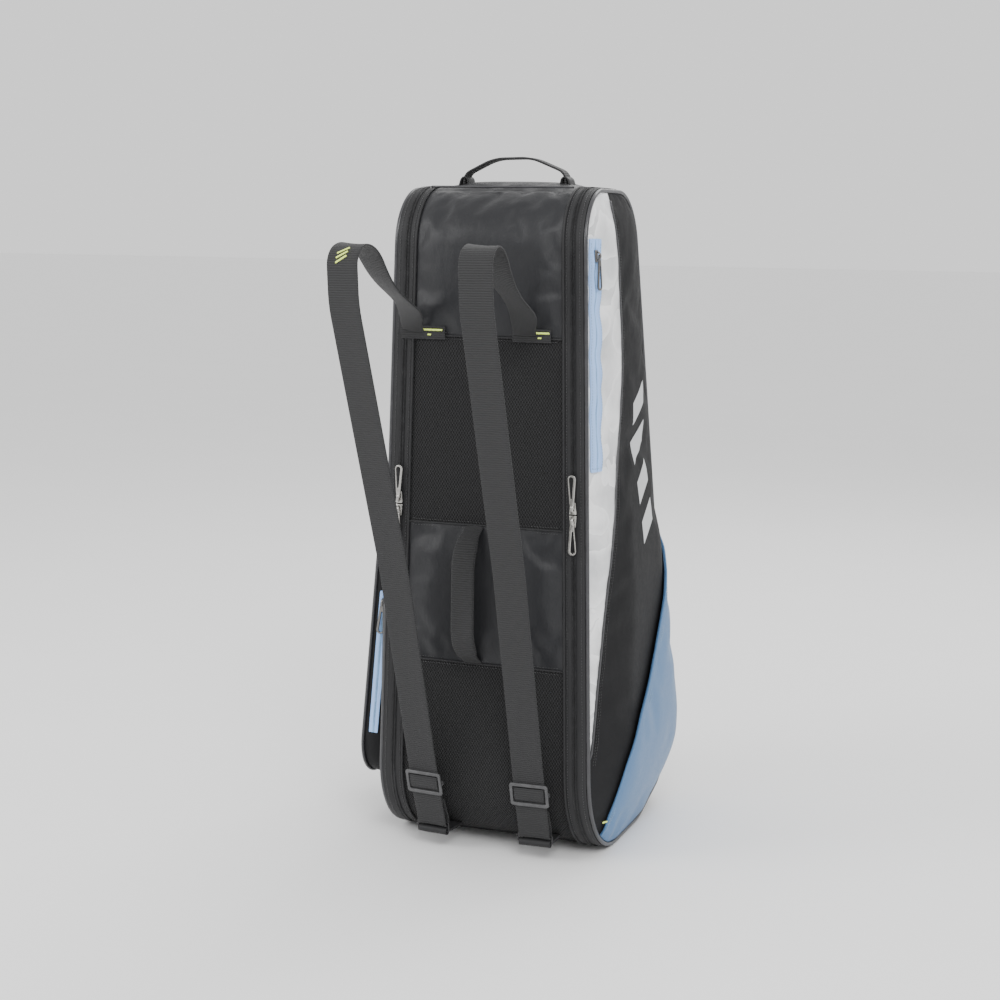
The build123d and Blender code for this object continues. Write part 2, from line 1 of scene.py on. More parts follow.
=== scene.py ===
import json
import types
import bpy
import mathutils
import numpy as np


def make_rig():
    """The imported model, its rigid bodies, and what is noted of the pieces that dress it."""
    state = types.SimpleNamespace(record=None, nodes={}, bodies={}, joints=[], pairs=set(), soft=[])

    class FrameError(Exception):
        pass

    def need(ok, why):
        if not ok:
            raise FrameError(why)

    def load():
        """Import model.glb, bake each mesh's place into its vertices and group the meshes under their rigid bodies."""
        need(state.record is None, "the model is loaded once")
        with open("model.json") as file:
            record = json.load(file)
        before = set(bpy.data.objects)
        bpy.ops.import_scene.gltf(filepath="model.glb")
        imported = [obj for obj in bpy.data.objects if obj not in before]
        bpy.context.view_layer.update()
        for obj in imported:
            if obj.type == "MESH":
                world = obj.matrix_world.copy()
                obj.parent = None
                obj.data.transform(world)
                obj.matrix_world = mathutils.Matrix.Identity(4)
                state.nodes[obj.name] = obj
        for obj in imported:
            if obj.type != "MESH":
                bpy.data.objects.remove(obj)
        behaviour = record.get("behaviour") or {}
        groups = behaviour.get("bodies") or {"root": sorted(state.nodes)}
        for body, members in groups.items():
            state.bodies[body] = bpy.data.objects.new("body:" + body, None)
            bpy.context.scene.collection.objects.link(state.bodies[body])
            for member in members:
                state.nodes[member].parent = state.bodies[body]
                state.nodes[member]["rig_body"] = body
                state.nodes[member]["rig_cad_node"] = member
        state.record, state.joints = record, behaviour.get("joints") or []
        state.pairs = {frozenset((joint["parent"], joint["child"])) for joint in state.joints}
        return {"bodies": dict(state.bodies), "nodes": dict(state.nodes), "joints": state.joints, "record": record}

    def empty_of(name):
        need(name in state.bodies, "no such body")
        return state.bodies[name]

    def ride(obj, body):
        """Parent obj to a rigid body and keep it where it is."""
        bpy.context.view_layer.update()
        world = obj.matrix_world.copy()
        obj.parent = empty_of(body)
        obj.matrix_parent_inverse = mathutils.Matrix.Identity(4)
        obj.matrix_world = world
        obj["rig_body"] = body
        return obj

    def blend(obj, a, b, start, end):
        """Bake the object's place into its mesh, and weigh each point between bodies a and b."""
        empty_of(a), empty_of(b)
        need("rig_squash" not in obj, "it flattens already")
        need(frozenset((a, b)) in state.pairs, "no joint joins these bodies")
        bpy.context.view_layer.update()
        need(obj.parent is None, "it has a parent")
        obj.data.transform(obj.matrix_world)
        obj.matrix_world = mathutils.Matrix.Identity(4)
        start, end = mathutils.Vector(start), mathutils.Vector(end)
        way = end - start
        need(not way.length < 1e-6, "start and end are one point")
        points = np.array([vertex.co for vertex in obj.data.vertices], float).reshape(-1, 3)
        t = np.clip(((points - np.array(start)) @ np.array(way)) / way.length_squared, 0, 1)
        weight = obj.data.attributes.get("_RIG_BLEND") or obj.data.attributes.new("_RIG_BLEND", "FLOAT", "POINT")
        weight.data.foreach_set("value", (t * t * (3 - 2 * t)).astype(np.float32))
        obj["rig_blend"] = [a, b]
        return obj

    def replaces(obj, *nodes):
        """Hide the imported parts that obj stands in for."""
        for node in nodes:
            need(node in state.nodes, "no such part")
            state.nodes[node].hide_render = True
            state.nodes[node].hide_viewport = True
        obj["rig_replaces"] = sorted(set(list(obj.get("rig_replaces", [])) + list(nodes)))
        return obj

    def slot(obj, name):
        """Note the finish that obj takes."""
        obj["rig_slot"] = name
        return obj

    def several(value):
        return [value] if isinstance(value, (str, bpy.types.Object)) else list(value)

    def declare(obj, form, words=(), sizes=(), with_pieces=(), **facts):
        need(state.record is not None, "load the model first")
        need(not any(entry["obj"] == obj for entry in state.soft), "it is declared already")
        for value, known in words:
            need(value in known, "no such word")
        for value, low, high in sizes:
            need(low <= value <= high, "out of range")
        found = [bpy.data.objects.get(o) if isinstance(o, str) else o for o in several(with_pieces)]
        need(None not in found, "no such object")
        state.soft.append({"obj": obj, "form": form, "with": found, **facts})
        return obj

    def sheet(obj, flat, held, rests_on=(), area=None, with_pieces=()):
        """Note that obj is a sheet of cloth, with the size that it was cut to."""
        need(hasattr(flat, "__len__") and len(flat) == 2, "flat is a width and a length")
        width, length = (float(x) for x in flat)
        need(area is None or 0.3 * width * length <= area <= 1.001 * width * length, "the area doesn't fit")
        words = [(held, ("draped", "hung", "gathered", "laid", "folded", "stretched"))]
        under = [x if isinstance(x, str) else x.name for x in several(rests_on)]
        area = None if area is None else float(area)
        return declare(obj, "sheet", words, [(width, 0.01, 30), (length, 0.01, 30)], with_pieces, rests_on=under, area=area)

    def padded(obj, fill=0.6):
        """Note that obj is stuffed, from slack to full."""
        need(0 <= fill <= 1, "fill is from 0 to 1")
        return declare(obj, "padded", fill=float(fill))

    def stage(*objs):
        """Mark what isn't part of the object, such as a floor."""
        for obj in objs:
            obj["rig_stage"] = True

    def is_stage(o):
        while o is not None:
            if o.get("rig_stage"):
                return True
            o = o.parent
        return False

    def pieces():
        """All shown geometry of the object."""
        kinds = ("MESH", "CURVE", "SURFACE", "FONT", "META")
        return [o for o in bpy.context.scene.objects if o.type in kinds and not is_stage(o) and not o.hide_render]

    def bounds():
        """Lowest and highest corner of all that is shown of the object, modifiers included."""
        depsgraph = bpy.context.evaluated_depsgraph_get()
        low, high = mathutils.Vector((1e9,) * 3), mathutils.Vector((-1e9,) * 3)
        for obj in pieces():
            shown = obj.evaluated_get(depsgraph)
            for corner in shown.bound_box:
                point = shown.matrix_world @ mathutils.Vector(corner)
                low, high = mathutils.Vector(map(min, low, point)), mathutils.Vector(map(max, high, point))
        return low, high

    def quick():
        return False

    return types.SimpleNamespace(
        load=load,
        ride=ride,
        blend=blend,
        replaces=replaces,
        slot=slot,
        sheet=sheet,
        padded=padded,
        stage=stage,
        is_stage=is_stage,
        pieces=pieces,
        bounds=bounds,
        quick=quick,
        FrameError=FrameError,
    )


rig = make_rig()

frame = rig.load()
cadLow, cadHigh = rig.bounds()

import functools
import json
import math
import random

import bpy
import numpy as np
from mathutils import Matrix, Vector, noise
from mathutils.bvhtree import BVHTree

# Side outline: depth behind the strap panel, height, corner radius. All in metres.
bag = {
    "height": 0.779,
    "baseCentre": 0.150,
    "corners": [
        (0.0, 0.0, 0.105), (0.0, 0.779, 0.065), (0.189, 0.779, 0.075),
        (0.351, 0.040, 0.080), (0.200, 0.0, 0.120),
    ],
    "panelHalf": (0.1035, 0.0865),
    "shellHalf": (0.130, 0.1095),
    "topSeam": 0.610,
    "grabTop": 0.393,
    "grabBottom": 0.230,
    "wrapDepth": 0.040,
    "frontTop": 0.705,
    "frontBottom": 0.120,
}
zipHalf = tuple((a + b) / 2 for a, b in zip(bag["panelHalf"], bag["shellHalf"]))
jointNamed = {joint["name"]: joint for joint in frame["joints"]}


# Small tools

def along(pair, height):
    return pair[0] + (pair[1] - pair[0]) * height / bag["height"]


def smooth(value, low=0.0, high=1.0):
    t = min(max((value - low) / (high - low), 0.0), 1.0)
    return t * t * (3 - 2 * t)


def deselectAll():
    if bpy.context.object and bpy.context.object.mode != "OBJECT":
        bpy.ops.object.mode_set(mode="OBJECT")
    bpy.ops.object.select_all(action="DESELECT")


def choose(piece):
    deselectAll()
    piece.select_set(True)
    bpy.context.view_layer.objects.active = piece


def applyAll(piece):
    choose(piece)
    for modifier in list(piece.modifiers):
        bpy.ops.object.modifier_apply(modifier=modifier.name)


def addModifier(piece, kind, **values):
    modifier = piece.modifiers.new(kind.title(), kind)
    for key, value in values.items():
        setattr(modifier, key, value)
    return modifier


def shade(piece, angle=None):
    choose(piece)
    if angle is None:
        bpy.ops.object.shade_smooth()
    else:
        bpy.ops.object.shade_smooth_by_angle(angle=math.radians(angle))


def faceOutwards(piece):
    choose(piece)
    bpy.ops.object.mode_set(mode="EDIT")
    bpy.ops.mesh.select_all(action="SELECT")
    bpy.ops.mesh.remove_doubles(threshold=1e-6)
    bpy.ops.mesh.normals_make_consistent(inside=False)
    bpy.ops.object.mode_set(mode="OBJECT")


def rename(piece, name):
    piece.name = name
    piece.data.name = name
    return piece


def joined(pieces, name):
    deselectAll()
    for piece in pieces:
        piece.select_set(True)
    bpy.context.view_layer.objects.active = pieces[0]
    if len(pieces) > 1:
        bpy.ops.object.join()
    return rename(pieces[0], name)


# Material, body and CAD nodes of a finished piece.
def dress(piece, material, body, replaced=(), slot=None):
    piece.data.materials.clear()
    piece.data.materials.append(material)
    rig.ride(piece, body)
    if replaced:
        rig.replaces(piece, *replaced)
    if slot:
        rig.slot(piece, slot)
    return piece


def refinish(nodeName, key):
    piece = frame["nodes"][nodeName]
    piece.data.materials.clear()
    piece.data.materials.append(finish[key])


def flatCut(piece):
    # Width, length and area of the cloth before it was shaped, from its metric UVs.
    layer = piece.data.uv_layers.active.data
    spots = np.array([tuple(loop.uv) for loop in layer])
    width, length = spots.max(0) - spots.min(0)
    area = 0.0
    for polygon in piece.data.polygons:
        corners = spots[list(polygon.loop_indices)]
        following = np.roll(corners, -1, 0)
        area += abs((corners[:, 0] * following[:, 1] - corners[:, 1] * following[:, 0]).sum()) / 2
    return float(width), float(length), float(area)


def declareSheet(piece, under):
    width, length, area = flatCut(piece)
    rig.sheet(piece, flat=(width, length), held="stretched", rests_on=under,
             area=min(max(area, 0.301 * width * length), width * length))


def meshPiece(name, points, faces):
    mesh = bpy.data.meshes.new(name)
    mesh.from_pydata([tuple(p) for p in points], [], faces)
    piece = bpy.data.objects.new(name, mesh)
    bpy.context.scene.collection.objects.link(piece)
    return piece


# One mesh of many placed copies of a template, which is used up.
def copiesOf(template, matrices, name):
    base = np.array([v.co for v in template.data.vertices])
    polygons = [tuple(p.vertices) for p in template.data.polygons]
    points, faces = [], []
    for matrix in matrices:
        turn = np.array(matrix)
        start = len(points)
        points.extend((base @ turn[:3, :3].T + turn[:3, 3]).tolist())
        faces.extend(tuple(start + i for i in face) for face in polygons)
    bpy.data.objects.remove(template)
    piece = meshPiece(name, points, faces)
    shade(piece)
    return piece


# The outline path

# Points along straight runs and arcs, with the corners as (a, b, radius).
def filletPath(corners, closed=True, step=0.004):
    points = []
    count = len(corners)
    for i, (a, b, radius) in enumerate(corners):
        here = Vector((a, b))
        if radius <= 0 or (not closed and i in (0, count - 1)):
            points.append(here)
            continue
        back = (Vector(corners[i - 1][:2]) - here).normalized()
        ahead = (Vector(corners[(i + 1) % count][:2]) - here).normalized()
        half = back.angle(ahead) / 2
        run = radius / math.tan(half)
        centre = here + (back + ahead).normalized() * radius / math.sin(half)
        first, last = here + back * run - centre, here + ahead * run - centre
        turn = first.angle_signed(last)
        steps = max(2, int(abs(turn) * radius / step))
        for k in range(steps + 1):
            spin = Matrix.Rotation(-turn * k / steps, 2)
            points.append(centre + spin @ first)
    return points


# The same outline, pulled in. The corners go round it clockwise as (depth, height).
def insetCorners(corners, inset):
    moved = []
    count = len(corners)
    for i, (a, b, radius) in enumerate(corners):
        here = Vector((a, b))
        back = (here - Vector(corners[i - 1][:2])).normalized()
        ahead = (Vector(corners[(i + 1) % count][:2]) - here).normalized()
        backIn, aheadIn = Vector((back.y, -back.x)), Vector((ahead.y, -ahead.x))
        middle = (backIn + aheadIn).normalized()
        moved.append((*(here + middle * inset / middle.dot(aheadIn)), max(radius - inset, 0.001)))
    return moved


# A path of (depth, height) points, measured by its length.
class measuredPath:
    def __init__(self, points, closed):
        self.points = [Vector(p) for p in points]
        if closed:
            self.points.append(self.points[0])
        self.closed = closed
        self.marks = [0.0]
        for a, b in zip(self.points, self.points[1:]):
            self.marks.append(self.marks[-1] + (b - a).length)
        self.length = self.marks[-1]

    def at(self, s):
        if self.closed:
            s = s % self.length
        i = int(np.searchsorted(self.marks, s, side="right")) - 1
        i = min(max(i, 0), len(self.points) - 2)
        span = self.marks[i + 1] - self.marks[i] or 1e-9
        return self.points[i].lerp(self.points[i + 1], (s - self.marks[i]) / span)

    def outwards(self, s, reach=0.003):
        step = self.at(s + reach) - self.at(s - reach)
        return Vector((-step.y, step.x)).normalized()

    def nearest(self, depth, height):
        target = Vector((depth, height))
        samples = [self.length * i / 2000 for i in range(2001)]
        return min(samples, key=lambda s: (self.at(s) - target).length)


outline = measuredPath(filletPath(bag["corners"]), True)


# How far a point of the side lies inside a closed path.
def edgeDistance(path, depth, height):
    a, b = path[:-1], path[1:]
    point = np.array((depth, height))
    run = b - a
    t = ((point - a) * run).sum(1) / np.maximum((run * run).sum(1), 1e-12)
    near = a + run * np.clip(t, 0, 1)[:, None]
    return float(np.sqrt(((near - point) ** 2).sum(1)).min())


# The lowest and highest depth of a closed path at a height.
def spanAt(path, height):
    found = []
    for (d0, z0), (d1, z1) in zip(path[:-1], path[1:]):
        if (z0 - height) * (z1 - height) <= 0 and z0 != z1:
            found.append(d0 + (d1 - d0) * (height - z0) / (z1 - z0))
    return min(found), max(found)


def rowPoint(depth, height, x):
    return Vector((x, depth - bag["baseCentre"], height))


# Cloth sheets

# A grid whose points and metric UVs come from place(u, v).
def sheetGrid(name, columns, rows, place):
    deselectAll()
    bpy.ops.mesh.primitive_grid_add(x_subdivisions=columns, y_subdivisions=rows, size=1, calc_uvs=True)
    piece = rename(bpy.context.object, name)
    mesh = piece.data
    found = [place(v.co.x + 0.5, v.co.y + 0.5) for v in mesh.vertices]
    layer = mesh.uv_layers.active.data
    for loop in mesh.loops:
        layer[loop.index].uv = found[loop.vertex_index][1]
    weights = [(v.co.x + 0.5, v.co.y + 0.5) for v in mesh.vertices]
    for vertex, (point, _) in zip(mesh.vertices, found):
        vertex.co = point
    return piece, weights


# Cloth simulation of one sheet, sewn down where held(i) is 1.
def settleCloth(piece, held, pressure=2.0, slack=0.012, cap=0.006, steps=14):
    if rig.quick():
        return
    mesh = piece.data
    rest = [v.co.copy() for v in mesh.vertices]
    pins = piece.vertex_groups.new(name="sewn")
    for i in range(len(rest)):
        pins.add([i], held(i), "REPLACE")
        wobble = noise.noise(rest[i] * 35) * 0.0006 * (1 - held(i))
        mesh.vertices[i].co = rest[i] + mesh.vertices[i].normal * wobble
    cloth = addModifier(piece, "CLOTH")
    s = cloth.settings
    s.quality = 6
    s.mass = 0.15
    s.tension_stiffness = s.compression_stiffness = 20
    s.shear_stiffness = 8
    s.bending_stiffness = 0.6
    s.vertex_group_mass = "sewn"
    s.shrink_min = -slack
    s.use_pressure = True
    s.uniform_pressure_force = pressure
    s.effector_weights.gravity = 0
    cloth.collision_settings.use_collision = False
    cloth.point_cache.frame_start, cloth.point_cache.frame_end = 1, steps
    for step in range(1, steps + 1):
        bpy.context.scene.frame_set(step)
    graph = bpy.context.evaluated_depsgraph_get()
    after = [v.co.copy() for v in piece.evaluated_get(graph).data.vertices]
    piece.modifiers.remove(cloth)
    bpy.context.scene.frame_set(1)
    for vertex, start, end in zip(mesh.vertices, rest, after):
        move = end - start
        vertex.co = start + (move if move.length < cap else move.normalized() * cap)
    piece.vertex_groups.clear()


def thicken(piece, thickness, subdivide=1, offset=-1.0):
    if subdivide:
        addModifier(piece, "SUBSURF", levels=subdivide, render_levels=subdivide)
    addModifier(piece, "SOLIDIFY", thickness=thickness, offset=offset, use_even_offset=False)
    applyAll(piece)
    shade(piece, 60)
    return piece


# Which points lie on the named edges of a grid: left, right, bottom, top.
def edgeOf(weights, sides="lrbt", margin=0.012):
    def held(i):
        u, v = weights[i]
        on = ("l" in sides and u < margin) or ("r" in sides and u > 1 - margin)
        on = on or ("b" in sides and v < margin) or ("t" in sides and v > 1 - margin)
        return 1.0 if on else 0.0
    return held


# Materials, all in one family of small node trees

def newMaterial(name):
    material = bpy.data.materials.new(name)
    material.use_nodes = True
    tree = material.node_tree
    shader = tree.nodes["Principled BSDF"]
    return material, tree, shader


def node(tree, kind, inputs=None, **values):
    made = tree.nodes.new(kind)
    for key, value in values.items():
        setattr(made, key, value)
    for key, value in (inputs or {}).items():
        if isinstance(value, bpy.types.NodeSocket):
            tree.links.new(value, made.inputs[key])
        else:
            made.inputs[key].default_value = value
    return made


def maths(tree, operation, a, b=0.0):
    made = node(tree, "ShaderNodeMath", operation=operation)
    for socket, value in zip(made.inputs, (a, b)):
        if isinstance(value, bpy.types.NodeSocket):
            tree.links.new(value, socket)
        else:
            socket.default_value = value
    return made.outputs[0]


def surfaceUv(tree, scaleU, scaleV, layer=""):
    source = node(tree, "ShaderNodeUVMap", uv_map=layer) if layer else node(tree, "ShaderNodeTexCoord")
    output = source.outputs["UV"]
    mapping = node(tree, "ShaderNodeMapping", {"Vector": output, "Scale": (scaleU, scaleV, 1)})
    return mapping.outputs[0]


def objectCoordinates(tree, scale=(1, 1, 1)):
    source = node(tree, "ShaderNodeTexCoord")
    return node(tree, "ShaderNodeMapping", {"Vector": source.outputs["Object"], "Scale": scale}).outputs[0]


def noiseOf(tree, vector, scale, detail=3.0, roughness=0.55):
    made = node(tree, "ShaderNodeTexNoise", {"Vector": vector, "Scale": scale, "Detail": detail,
                                             "Roughness": roughness})
    return made.outputs["Fac"]


def ramp(tree, value, stops):
    made = node(tree, "ShaderNodeValToRGB", {"Fac": value})
    elements = made.color_ramp.elements
    while len(elements) < len(stops):
        elements.new(0.5)
    for element, (place, colour) in zip(elements, stops):
        element.position = place
        element.color = (*colour, 1)
    return made.outputs["Color"]


def mixColour(tree, factor, a, b, mode="MIX"):
    made = node(tree, "ShaderNodeMix", data_type="RGBA", blend_type=mode)
    for key, value in (("Factor", factor), ("A", a), ("B", b)):
        socket = [s for s in made.inputs if s.name == key and s.type in ("RGBA", "VALUE")]
        socket = socket[-1] if key != "Factor" else socket[0]
        if isinstance(value, bpy.types.NodeSocket):
            tree.links.new(value, socket)
        else:
            socket.default_value = value if key == "Factor" else (*value, 1)
    return [s for s in made.outputs if s.type == "RGBA"][0]


def bump(tree, height, strength, distance, before=None):
    inputs = {"Height": height, "Strength": strength, "Distance": distance}
    if before is not None:
        inputs["Normal"] = before
    return node(tree, "ShaderNodeBump", inputs).outputs[0]


def link(tree, shader, **sockets):
    for key, value in sockets.items():
        tree.links.new(value, shader.inputs[key.replace("_", " ")])


# Over and under threads: height from 0 to 1 on the metric UV.
def weave(tree, pitch, slant=0.0):
    uv = surfaceUv(tree, 1 / pitch, 1 / pitch)
    parts = node(tree, "ShaderNodeSeparateXYZ", {"Vector": uv})
    across, up = parts.outputs[0], parts.outputs[1]
    if slant:
        across = maths(tree, "ADD", across, maths(tree, "MULTIPLY", up, slant))
    turn = math.pi
    warp = maths(tree, "ABSOLUTE", maths(tree, "SINE", maths(tree, "MULTIPLY", across, turn)))
    weft = maths(tree, "ABSOLUTE", maths(tree, "SINE", maths(tree, "MULTIPLY", up, turn)))
    return maths(tree, "MULTIPLY", warp, weft)


# Tight polyester with a soft satin coat, faint creases and rubbed patches.
def coatedCloth(name, light, dark, roughness=0.42, pitch=0.0011, creases=1.0, sheen=0.06, shine=0.34):
    material, tree, shader = newMaterial(name)
    place = objectCoordinates(tree)
    broad = noiseOf(tree, place, 9.0, 4.0)
    fine = noiseOf(tree, place, 160.0, 2.0)
    thread = weave(tree, pitch)
    tone = mixColour(tree, broad, dark, light)
    tone = mixColour(tree, maths(tree, "MULTIPLY", thread, 0.35), tone, tuple(c * 1.35 for c in light))
    stretched = objectCoordinates(tree, (1.0, 1.0, 0.45))
    crease = noiseOf(tree, stretched, 14.0, 5.0, 0.6)
    rough = maths(tree, "ADD", maths(tree, "MULTIPLY", fine, 0.14), roughness - 0.07)
    normal = bump(tree, crease, 0.35 * creases, 0.004)
    normal = bump(tree, thread, 0.25, 0.00035, normal)
    link(tree, shader, Base_Color=tone, Roughness=rough, Normal=normal)
    shader.inputs["Sheen Weight"].default_value = sheen
    shader.inputs["Sheen Roughness"].default_value = 0.4
    shader.inputs["Specular IOR Level"].default_value = shine
    return material


# Open diamond mesh; its holes are painted near black as painted shade that falls into them.
def spacerMesh():
    material, tree, shader = newMaterial("spacerMesh")
    uv = surfaceUv(tree, 1, 1)
    parts = node(tree, "ShaderNodeSeparateXYZ", {"Vector": uv})
    turns = math.pi / 0.0034
    a = maths(tree, "SINE", maths(tree, "MULTIPLY", maths(tree, "ADD", parts.outputs[0],
              maths(tree, "MULTIPLY", parts.outputs[1], 0.62)), turns))
    b = maths(tree, "SINE", maths(tree, "MULTIPLY", maths(tree, "SUBTRACT", parts.outputs[0],
              maths(tree, "MULTIPLY", parts.outputs[1], 0.62)), turns))
    cell = maths(tree, "ABSOLUTE", maths(tree, "MULTIPLY", a, b))
    yarn = noiseOf(tree, objectCoordinates(tree), 900.0, 2.0)
    broad = noiseOf(tree, objectCoordinates(tree), 12.0, 3.0)
    # Painted shade: the tone darkens from the mesh rims into the holes.
    tone = ramp(tree, cell, [(0.0, (0.022, 0.022, 0.023)), (0.28, (0.015, 0.015, 0.016)),
                             (0.55, (0.002, 0.002, 0.002))])
    tone = mixColour(tree, maths(tree, "MULTIPLY", broad, 0.25), tone, (0.012, 0.012, 0.013))
    height = maths(tree, "SUBTRACT", 1.0, cell)
    normal = bump(tree, height, 0.9, 0.0012)
    normal = bump(tree, yarn, 0.3, 0.0002, normal)
    link(tree, shader, Base_Color=tone, Normal=normal,
         Roughness=maths(tree, "ADD", maths(tree, "MULTIPLY", yarn, 0.2), 0.65))
    shader.inputs["Sheen Weight"].default_value = 0.04
    shader.inputs["Specular IOR Level"].default_value = 0.25
    return material


# Cross-ribbed webbing; V of the UV runs along the strap.
def webbingCloth(name="webbing", light=(0.024, 0.024, 0.025), dark=(0.007, 0.007, 0.0075), pitch=0.0026):
    material, tree, shader = newMaterial(name)
    uv = surfaceUv(tree, 1, 1)
    parts = node(tree, "ShaderNodeSeparateXYZ", {"Vector": uv})
    wander = noiseOf(tree, objectCoordinates(tree), 60.0, 2.0)
    rise = maths(tree, "ADD", parts.outputs[1], maths(tree, "MULTIPLY", wander, 0.0006))
    rib = maths(tree, "ABSOLUTE", maths(tree, "SINE", maths(tree, "MULTIPLY", rise, math.pi / pitch)))
    yarn = maths(tree, "ABSOLUTE", maths(tree, "SINE", maths(tree, "MULTIPLY", parts.outputs[0],
                 math.pi / 0.0012)))
    fuzz = noiseOf(tree, objectCoordinates(tree), 700.0, 3.0)
    height = maths(tree, "ADD", rib, maths(tree, "MULTIPLY", yarn, 0.35))
    # Painted highlight and painted shade: the rib crests are lighter and the grooves between them darker.
    tone = mixColour(tree, maths(tree, "MULTIPLY", rib, 0.85), dark, light)
    tone = mixColour(tree, maths(tree, "MULTIPLY", fuzz, 0.3), tone, tuple(c * 1.5 for c in light))
    normal = bump(tree, height, 0.8, 0.0006)
    normal = bump(tree, fuzz, 0.3, 0.0002, normal)
    link(tree, shader, Base_Color=tone, Normal=normal,
         Roughness=maths(tree, "ADD", maths(tree, "MULTIPLY", fuzz, 0.2), 0.55))
    shader.inputs["Sheen Weight"].default_value = 0.06
    shader.inputs["Specular IOR Level"].default_value = 0.3
    return material


# Pearl coated cloth with faint white arcs and fine crinkles.
def silverCloth():
    material, tree, shader = newMaterial("silverCloth")
    uv = surfaceUv(tree, 1, 1)
    bent = node(tree, "ShaderNodeVectorMath", operation="ADD")
    tree.links.new(uv, bent.inputs[0])
    drift = node(tree, "ShaderNodeTexNoise", {"Vector": uv, "Scale": 11.0, "Detail": 3.0})
    scaled = node(tree, "ShaderNodeVectorMath", operation="SCALE")
    tree.links.new(drift.outputs["Color"], scaled.inputs[0])
    scaled.inputs["Scale"].default_value = 0.065
    tree.links.new(scaled.outputs[0], bent.inputs[1])
    line = None
    for scale, turns in ((17.0, 1.9), (10.0, 1.6)):
        cells = node(tree, "ShaderNodeTexVoronoi", {"Vector": bent.outputs[0], "Scale": scale,
                                                    "Randomness": 1.0}, feature="F1")
        fold = maths(tree, "FRACT", maths(tree, "MULTIPLY", cells.outputs["Distance"], turns))
        arc = maths(tree, "POWER", fold, 4.0)
        line = arc if line is None else maths(tree, "MAXIMUM", line, arc)
    broad = noiseOf(tree, objectCoordinates(tree), 16.0, 4.0)
    spread = ramp(tree, broad, [(0.35, (0.50, 0.51, 0.52)), (0.65, (0.76, 0.765, 0.77))])
    tone = mixColour(tree, maths(tree, "MULTIPLY", line, 0.75), spread, (0.96, 0.965, 0.97))
    crinkle = noiseOf(tree, objectCoordinates(tree, (1, 1, 0.6)), 42.0, 5.0, 0.6)
    thread = weave(tree, 0.0009)
    normal = bump(tree, crinkle, 0.8, 0.0045)
    normal = bump(tree, line, 0.45, 0.0012, normal)
    normal = bump(tree, thread, 0.2, 0.0002, normal)
    link(tree, shader, Base_Color=tone, Normal=normal,
         Roughness=maths(tree, "ADD", maths(tree, "MULTIPLY", broad, 0.2), 0.30))
    shader.inputs["Metallic"].default_value = 0.10
    shader.inputs["Sheen Weight"].default_value = 0.15
    return material


def metalFinish(name, tone, roughness):
    material, tree, shader = newMaterial(name)
    place = objectCoordinates(tree)
    scratch = noiseOf(tree, objectCoordinates(tree, (1, 1, 0.15)), 900.0, 3.0)
    broad = noiseOf(tree, place, 120.0, 3.0)
    colour = mixColour(tree, broad, tuple(c * 0.7 for c in tone), tuple(min(c * 1.2, 1) for c in tone))
    link(tree, shader, Base_Color=colour,
         Roughness=maths(tree, "ADD", maths(tree, "MULTIPLY", scratch, 0.2), roughness - 0.1),
         Normal=bump(tree, scratch, 0.15, 0.0001))
    shader.inputs["Metallic"].default_value = 1.0
    return material


def mouldedPlastic(name, tone, roughness=0.4):
    material, tree, shader = newMaterial(name)
    place = objectCoordinates(tree)
    grain = noiseOf(tree, place, 1400.0, 2.0)
    rubbed = noiseOf(tree, place, 90.0, 4.0)
    colour = mixColour(tree, ramp(tree, rubbed, [(0.45, (0, 0, 0)), (0.75, (1, 1, 1))]), tone,
                       tuple(min(c * 1.6 + 0.01, 1) for c in tone))
    link(tree, shader, Base_Color=colour, Normal=bump(tree, grain, 0.25, 0.0001),
         Roughness=maths(tree, "ADD", maths(tree, "MULTIPLY", grain, 0.15), roughness))
    return material


def threadFinish(name, light, dark):
    material, tree, shader = newMaterial(name)
    place = objectCoordinates(tree)
    strand = node(tree, "ShaderNodeTexWave", {"Vector": place, "Scale": 420.0, "Distortion": 3.0,
                                              "Detail": 1.0}, bands_direction="DIAGONAL").outputs["Fac"]
    tone = mixColour(tree, strand, dark, light)
    link(tree, shader, Base_Color=tone, Normal=bump(tree, strand, 0.5, 0.0002),
         Roughness=maths(tree, "ADD", maths(tree, "MULTIPLY", strand, 0.2), 0.45))
    shader.inputs["Sheen Weight"].default_value = 0.3
    return material


def pipingFinish(name, tone, roughness=0.3):
    material, tree, shader = newMaterial(name)
    place = objectCoordinates(tree)
    pinch = noiseOf(tree, place, 110.0, 4.0)
    colour = mixColour(tree, pinch, tuple(c * 0.6 for c in tone), tuple(c * 1.5 for c in tone))
    link(tree, shader, Base_Color=colour, Normal=bump(tree, pinch, 0.4, 0.0008),
         Roughness=maths(tree, "ADD", maths(tree, "MULTIPLY", pinch, 0.25), roughness))
    shader.inputs["Coat Weight"].default_value = 0.15
    return material


# Ripstop lining with soft quilting.
def liningCloth(name, light, dark):
    material, tree, shader = newMaterial(name)
    place = objectCoordinates(tree)
    parts = node(tree, "ShaderNodeSeparateXYZ", {"Vector": place})
    line = None
    for axis in (1, 2):
        wave = maths(tree, "ABSOLUTE", maths(tree, "SINE", maths(tree, "MULTIPLY", parts.outputs[axis],
                     math.pi / 0.0055)))
        narrow = maths(tree, "LESS_THAN", wave, 0.12)
        line = narrow if line is None else maths(tree, "MAXIMUM", line, narrow)
    broad = noiseOf(tree, place, 18.0, 4.0)
    tone = mixColour(tree, broad, dark, light)
    tone = mixColour(tree, maths(tree, "MULTIPLY", line, 0.5), tone, tuple(c * 1.8 for c in light))
    normal = bump(tree, broad, 0.5, 0.004)
    normal = bump(tree, line, 0.4, 0.0003, normal)
    link(tree, shader, Base_Color=tone, Normal=normal,
         Roughness=maths(tree, "ADD", maths(tree, "MULTIPLY", broad, 0.2), 0.5))
    shader.inputs["Sheen Weight"].default_value = 0.2
    return material


